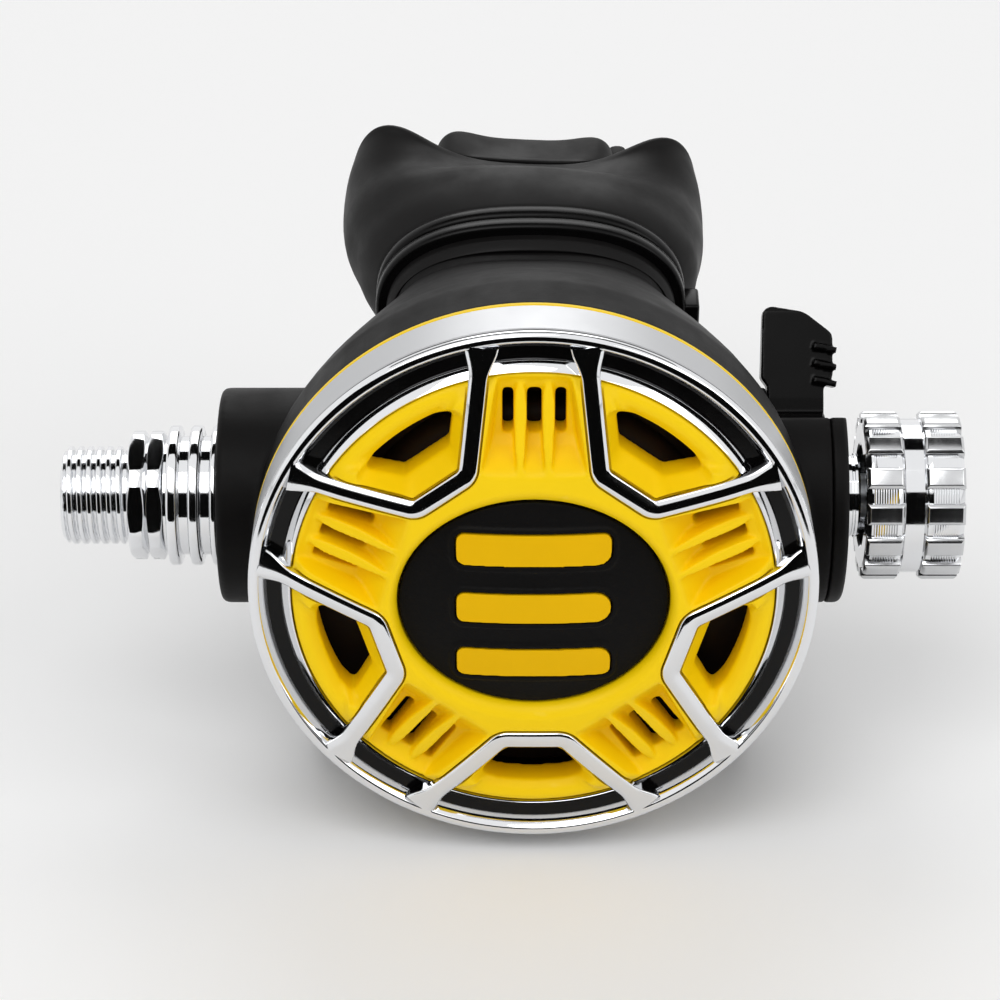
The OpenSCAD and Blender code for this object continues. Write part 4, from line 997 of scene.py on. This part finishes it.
MOUTH_INSIDE = [
    (12.2, 8.4, 3, 42.3, 0.14, 0), (11.6, 6.4, 2.5, 41.4, 0, 0), (12.0, 6.8, 2.5, 37, 0, 0),
    (12.6, 7.2, 2.5, 32, 0, 0), (14.9, 8.9, 2.5, 24, 0, 0), (17, 10.4, 2.4, 18, 0, 0),
    (18.3, 11, 2.6, 12.6, 0, 0), (20.5, 13, 2.7, 12.5, 0, 0), (20.5, 13, 2.7, 2.1, 0, 0)]
TIE_W, TIE_H, TIE_Z = 21.75, 14.25, 4.95    # the tie's inner half width and half height, and its start


def mouth_ring(row, count):
    """One ring of the mouthpiece, which rolls and moves over slightly towards its flange."""
    w, h, n, z, dip, sweep = row
    roll = math.radians(MOUTH_ROLL * max(0, min(1, (z - 13) / 12)))
    shift = -roll / math.radians(MOUTH_ROLL)
    ring = []
    for x, y in oval(w, h, n, count):
        y *= 1 - dip * math.exp(-(x / (0.73 * w)) ** 4)
        ring.append(on_neck(shift + x * math.cos(roll) - y * math.sin(roll),
                            x * math.sin(roll) + y * math.cos(roll), z + sweep * (x / FLANGE_W) ** 2))
    return ring


class REGULATOR_OT_mouthpiece(bpy.types.Operator):
    """Build the silicone mouthpiece with its bite tabs, and its two-banded tie"""
    bl_idname = "regulator.mouthpiece"
    bl_label = "Mouthpiece"

    def execute(self, context):
        count, per = 112, 3
        rings = []
        for table in (MOUTH_OUTSIDE, MOUTH_INSIDE):
            for i in range((len(table) - 1) * per + 1):
                rings.append(mouth_ring(between(table, i / per), count))
        body = smooth(skin("mouthpiece_body", rings, loop=True))
        finish_piece(body, "housing", "black_silicone", "mouthpiece")
        tabs = []
        for side in (-1, 1):
            tabs.append(bevel(block(
                "bite_tab", (side * 15 - 3.55, -1.6, FLANGE_BACK + 2),
                (side * 15 + 3.55, 1.6, FLANGE_BACK + 18.5), on_neck), 1.5, 4))
            tabs.append(bevel(block(
                "bite_lug", (side * 14 - 1.6, -4.1, FLANGE_BACK + 11),
                (side * 14 + 1.6, 4.1, FLANGE_BACK + 15.9), on_neck), 1.3, 4))
        finish_piece(smooth(merge(*tabs), 60), "housing", "black_silicone", "mouthpiece")
        profile = [(0, 0), (0.9, 0), (1.25, 0.12), (1.5, 0.4), (1.55, 1.2), (1.5, 2.3), (1.25, 2.62),
                   (0.95, 2.75), (0.95, 3.25), (1.25, 3.38), (1.5, 3.7), (1.55, 4.8), (1.5, 5.6),
                   (1.25, 5.88), (0.9, 6), (0, 6)]
        rings = [[on_neck(x, y, TIE_Z + z) for x, y in oval(TIE_W + g, TIE_H + g, 2.4, 96)]
                 for g, z in profile]
        tie = smooth(skin("mouthpiece_band", rings, loop=True), 60)
        head = block("head", (TIE_W + 0.5, -1.3, TIE_Z + 0.4), (TIE_W + 3.6, 3.7, TIE_Z + 5.6), on_neck)
        smooth(bevel(head, 0.5, 3), 40)
        finish_piece(merge(tie, head), "housing", "black_acetal", "mouthpiece_tie")
        return {"FINISHED"}


# ---------- soft inner pieces ----------

def coil_rings(place, mean_r, wire, length, turns, steps=28, sides=10):
    """Rings of points along a coil that starts at distance 0."""
    rings = []
    for i in range(turns * steps + 1):
        a = 2 * math.pi * i / steps
        t = wire / 2 + (length - wire) * i / (turns * steps)
        ring = []
        for j in range(sides):
            b = 2 * math.pi * j / sides
            r = mean_r + wire / 2 * math.cos(b)
            ring.append(place(r * math.cos(a), r * math.sin(a), t + wire / 2 * math.sin(b)))
        rings.append(ring)
    return rings


class REGULATOR_OT_soft_parts(bpy.types.Operator):
    """Build the springs, the membrane and the exhaust flap"""
    bl_idname = "regulator.soft_parts"
    bl_label = "Springs and Membrane"

    def execute(self, context):
        floor, top = -4.85, -0.55
        purge = smooth(skin("button_spring", coil_rings(
            lambda x, y, t: on_cover(x, y, floor + t), 6.6, 0.5, top - floor, 2)), 60)
        finish_piece(purge, "housing", "stainless", "purge_spring")
        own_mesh(purge)
        start, end = 20.75, 29.1      # the poppet comes 0.52 mm towards it
        poppet = smooth(skin("valve_spring", coil_rings(
            lambda x, y, t: on_barrel(start + t, x, y), 3.8, 0.8, end - start, 5)), 60)
        finish_piece(poppet, "housing", "stainless", "poppet_spring")
        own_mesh(poppet)
        shelf, t = -10.0, 0.8
        angles = [math.radians(d) for d in range(0, 181, 15)]
        over = [(23.4 + 3.2 * math.cos(a), shelf + 3.2 * math.sin(a) + t) for a in reversed(angles)]
        under = [(23.4 + 2.4 * math.cos(a), shelf + 2.4 * math.sin(a)) for a in angles]
        profile = [(20.2, shelf), *over, (27.0, shelf + t), (31.7, shelf + t), (31.8, shelf + 1.3),
                   (34.1, shelf + 1.3), (34.1, shelf), (27.0, shelf), *under]
        edge = smooth(cover_lathe("membrane_roll", profile), 40)
        finish_piece(edge, "housing", "grey_silicone", "diaphragm")
        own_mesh(edge)
        middle = smooth(cover_lathe("membrane_middle", [
            (9, shelf + 0.05), (20.6, shelf + 0.05), (20.6, shelf + 3), (20.3, shelf + 3.1),
            (20.0, shelf + 3), (20.0, shelf + 0.85), (9, shelf + 0.85)]), 40)
        finish_piece(middle, "diaphragm_disc", "grey_silicone", "diaphragm")
        for node, body in (("inlet_ring", "housing"), ("orifice_ring", "housing"),
                           ("adjuster_ring", "adjuster"), ("poppet_seat", "poppet_body")):
            moulded(node, node + "_rubber", 0.12, 2, body, "nitrile")
        flap = from_solid("exhaust_valve", "exhaust_flap")
        smooth(bevel(flap, 0.05, 2, 40), 35)
        finish_piece(flap, "housing", "grey_silicone", "exhaust_valve")
        return {"FINISHED"}


# ---------- inner works ----------

INNER = {
    "brass": ["valve_barrel", "orifice", "lever_nut"],
    "stainless": ["demand_lever", "knob_screw", "adjuster_screw"],
    "white_acetal": ["poppet", "spring_pad"],
    "black_acetal": ["venturi_vane", "clamp_ring", "diaphragm_plate"],
}


class REGULATOR_OT_inner_works(bpy.types.Operator):
    """Give the solids of the valve their materials"""
    bl_idname = "regulator.inner_works"
    bl_label = "Inner Works"

    def execute(self, context):
        for finish, nodes in INNER.items():
            for name in nodes:
                obj = frame["nodes"][name]
                if not obj.material_slots:
                    raise RuntimeError(f"{name} has no material slot")
                for place in obj.material_slots:
                    place.link = "OBJECT"
                    place.material = MATERIALS[finish]
        return {"FINISHED"}


# ---------- stage ----------

# the curved dark wall: its radius, its height, and how far it reaches to either side of the front
FLAG_R, FLAG_H, FLAG_SPAN = 0.2, 0.151, math.radians(50)
# y, height over the floor and size in m of the dark sheet in front and of the one overhead
SHEETS = ((-0.171, 0.001, (0.38, 0.058)), (0.3, 0.9, (1.6, 0.386)))
# name, place, size in m and power in W of each lamp
LAMPS = (("key", (-0.35, -0.8, 1.1), 0.9, 6.5), ("fill", (0.9, -0.7, 0.7), 0.8, 3.0),
         ("back", (0.0, 1.1, 1.0), 0.9, 5.0))
CAMERA_AT, CAMERA_TILT, CAMERA_LENS = (0.06319, -0.4540, 0.2302), math.radians(63.03), 126


class REGULATOR_OT_stage(bpy.types.Operator):
    """Set the floor, the soft lamps, the world and the camera"""
    bl_idname = "regulator.stage"
    bl_label = "Stage"

    def execute(self, context):
        scene = context.scene
        scene.view_settings.view_transform = "Standard"
        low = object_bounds()[0].z - 0.4 * MM
        rest()
        bpy.ops.mesh.primitive_plane_add(size=8, location=(AXIS_X, 1.5, low))
        floor = bpy.context.active_object
        floor.name = "floor"
        floor.data.materials.append(
            plain("white_paper", {"Base Color": (0.97, 0.97, 0.97, 1), "Roughness": 0.9}))
        floor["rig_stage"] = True
        # felt flags, which only give the chrome its dark reflections
        felt = plain("black_felt", {"Base Color": (0.004, 0.004, 0.004, 1), "Specular IOR Level": 0.0})
        bpy.ops.mesh.primitive_cylinder_add(
            vertices=64, radius=FLAG_R, depth=FLAG_H, end_fill_type="NOTHING",
            location=(AXIS_X, 0, low + 0.001 + FLAG_H / 2))
        wall = bpy.context.active_object
        open_faces(wall, lambda side: side.center.y > -FLAG_R * math.cos(FLAG_SPAN))
        bpy.ops.mesh.delete(type="FACE")
        rest()
        flags = [wall]
        for y, height, size in SHEETS:
            bpy.ops.mesh.primitive_plane_add(size=1, location=(AXIS_X, y, low + height))
            flags.append(bpy.context.active_object)
            flags[-1].scale = (*size, 1)
        for n, flag in enumerate(flags):
            flag.name = f"black_flag_{n}"
            flag.data.materials.append(felt)
            flag.visible_camera = flag.visible_diffuse = flag.visible_shadow = False
            flag.visible_transmission = False
            settle(flag)
            flag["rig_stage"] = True
        world = bpy.data.worlds.new("studio")
        scene.world = world
        tree = empty_tree(world)
        # full white where the camera or a reflection sees it, and half as bright as a light
        path = add_node(tree, "ShaderNodeLightPath").outputs
        seen = add_node(tree, "ShaderNodeMath", {0: path["Is Camera Ray"], 1: path["Is Glossy Ray"]},
                        operation="ADD").outputs[0]
        seen = add_node(tree, "ShaderNodeMath", {0: seen, 1: path["Is Transmission Ray"]},
                        operation="ADD", use_clamp=True).outputs[0]
        dim, white = [add_node(tree, "ShaderNodeBackground", {
            "Color": (1, 1, 1, 1), "Strength": strength}).outputs[0] for strength in (0.5, 1.0)]
        both = add_node(tree, "ShaderNodeMixShader", {0: seen, 1: dim, 2: white})
        add_node(tree, "ShaderNodeOutputWorld", {"Surface": both.outputs[0]})
        for name, place, size, power in LAMPS:
            bpy.ops.object.light_add(type="AREA", location=(AXIS_X + place[0], place[1], place[2]))
            lamp = bpy.context.active_object
            lamp.name = name
            lamp.data.size = size
            lamp.data.energy = power
            aim = Vector((AXIS_X, 0, 0)) - lamp.location
            lamp.rotation_euler = aim.to_track_quat("-Z", "Y").to_euler()
        bpy.ops.object.camera_add(location=CAMERA_AT, rotation=(CAMERA_TILT, 0, 0))
        camera = bpy.context.active_object
        camera.data.lens = CAMERA_LENS
        camera.data.sensor_width = 36
        camera.data.clip_start = 0.01
        scene.camera = camera
        return {"FINISHED"}


class REGULATOR_PT_panel(bpy.types.Panel):
    """Lists the regulator's pieces, sizes and colours"""
    bl_label = "Regulator"
    bl_idname = "REGULATOR_PT_panel"
    bl_space_type = "VIEW_3D"
    bl_region_type = "UI"
    bl_category = "Regulator"

    def draw(self, context):
        for group in ("regulator_colours", "regulator_cover", "regulator_inlet", "regulator_knob"):
            box = self.layout.box()
            values = getattr(context.scene, group)
            for name in values.__annotations__:
                box.prop(values, name)
        for operator in OPERATORS:
            self.layout.operator(operator.bl_idname)


OPERATORS = (
    REGULATOR_OT_chrome_cover, REGULATOR_OT_yellow_cover, REGULATOR_OT_purge_button, REGULATOR_OT_case,
    REGULATOR_OT_inlet, REGULATOR_OT_knob, REGULATOR_OT_venturi_lever, REGULATOR_OT_mouthpiece,
    REGULATOR_OT_soft_parts, REGULATOR_OT_inner_works, REGULATOR_OT_stage)
GROUPS = {"regulator_colours": RegulatorColours, "regulator_cover": CoverSizes,
          "regulator_inlet": InletSizes, "regulator_knob": KnobSizes}


def register():
    for cls in (*GROUPS.values(), *OPERATORS, REGULATOR_PT_panel):
        bpy.utils.register_class(cls)
    for name, cls in GROUPS.items():
        setattr(bpy.types.Scene, name, bpy.props.PointerProperty(type=cls))


def unregister():
    for name in GROUPS:
        delattr(bpy.types.Scene, name)
    for cls in reversed((*GROUPS.values(), *OPERATORS, REGULATOR_PT_panel)):
        bpy.utils.unregister_class(cls)


def main():
    register()
    make_materials(bpy.context.scene.regulator_colours)
    bpy.ops.regulator.chrome_cover()
    bpy.ops.regulator.yellow_cover()
    bpy.ops.regulator.purge_button()
    bpy.ops.regulator.case()
    bpy.ops.regulator.inlet()
    bpy.ops.regulator.knob()
    bpy.ops.regulator.venturi_lever()
    bpy.ops.regulator.mouthpiece()
    bpy.ops.regulator.soft_parts()
    bpy.ops.regulator.inner_works()
    bpy.ops.regulator.stage()
    rest()


if __name__ == "__main__":
    main()
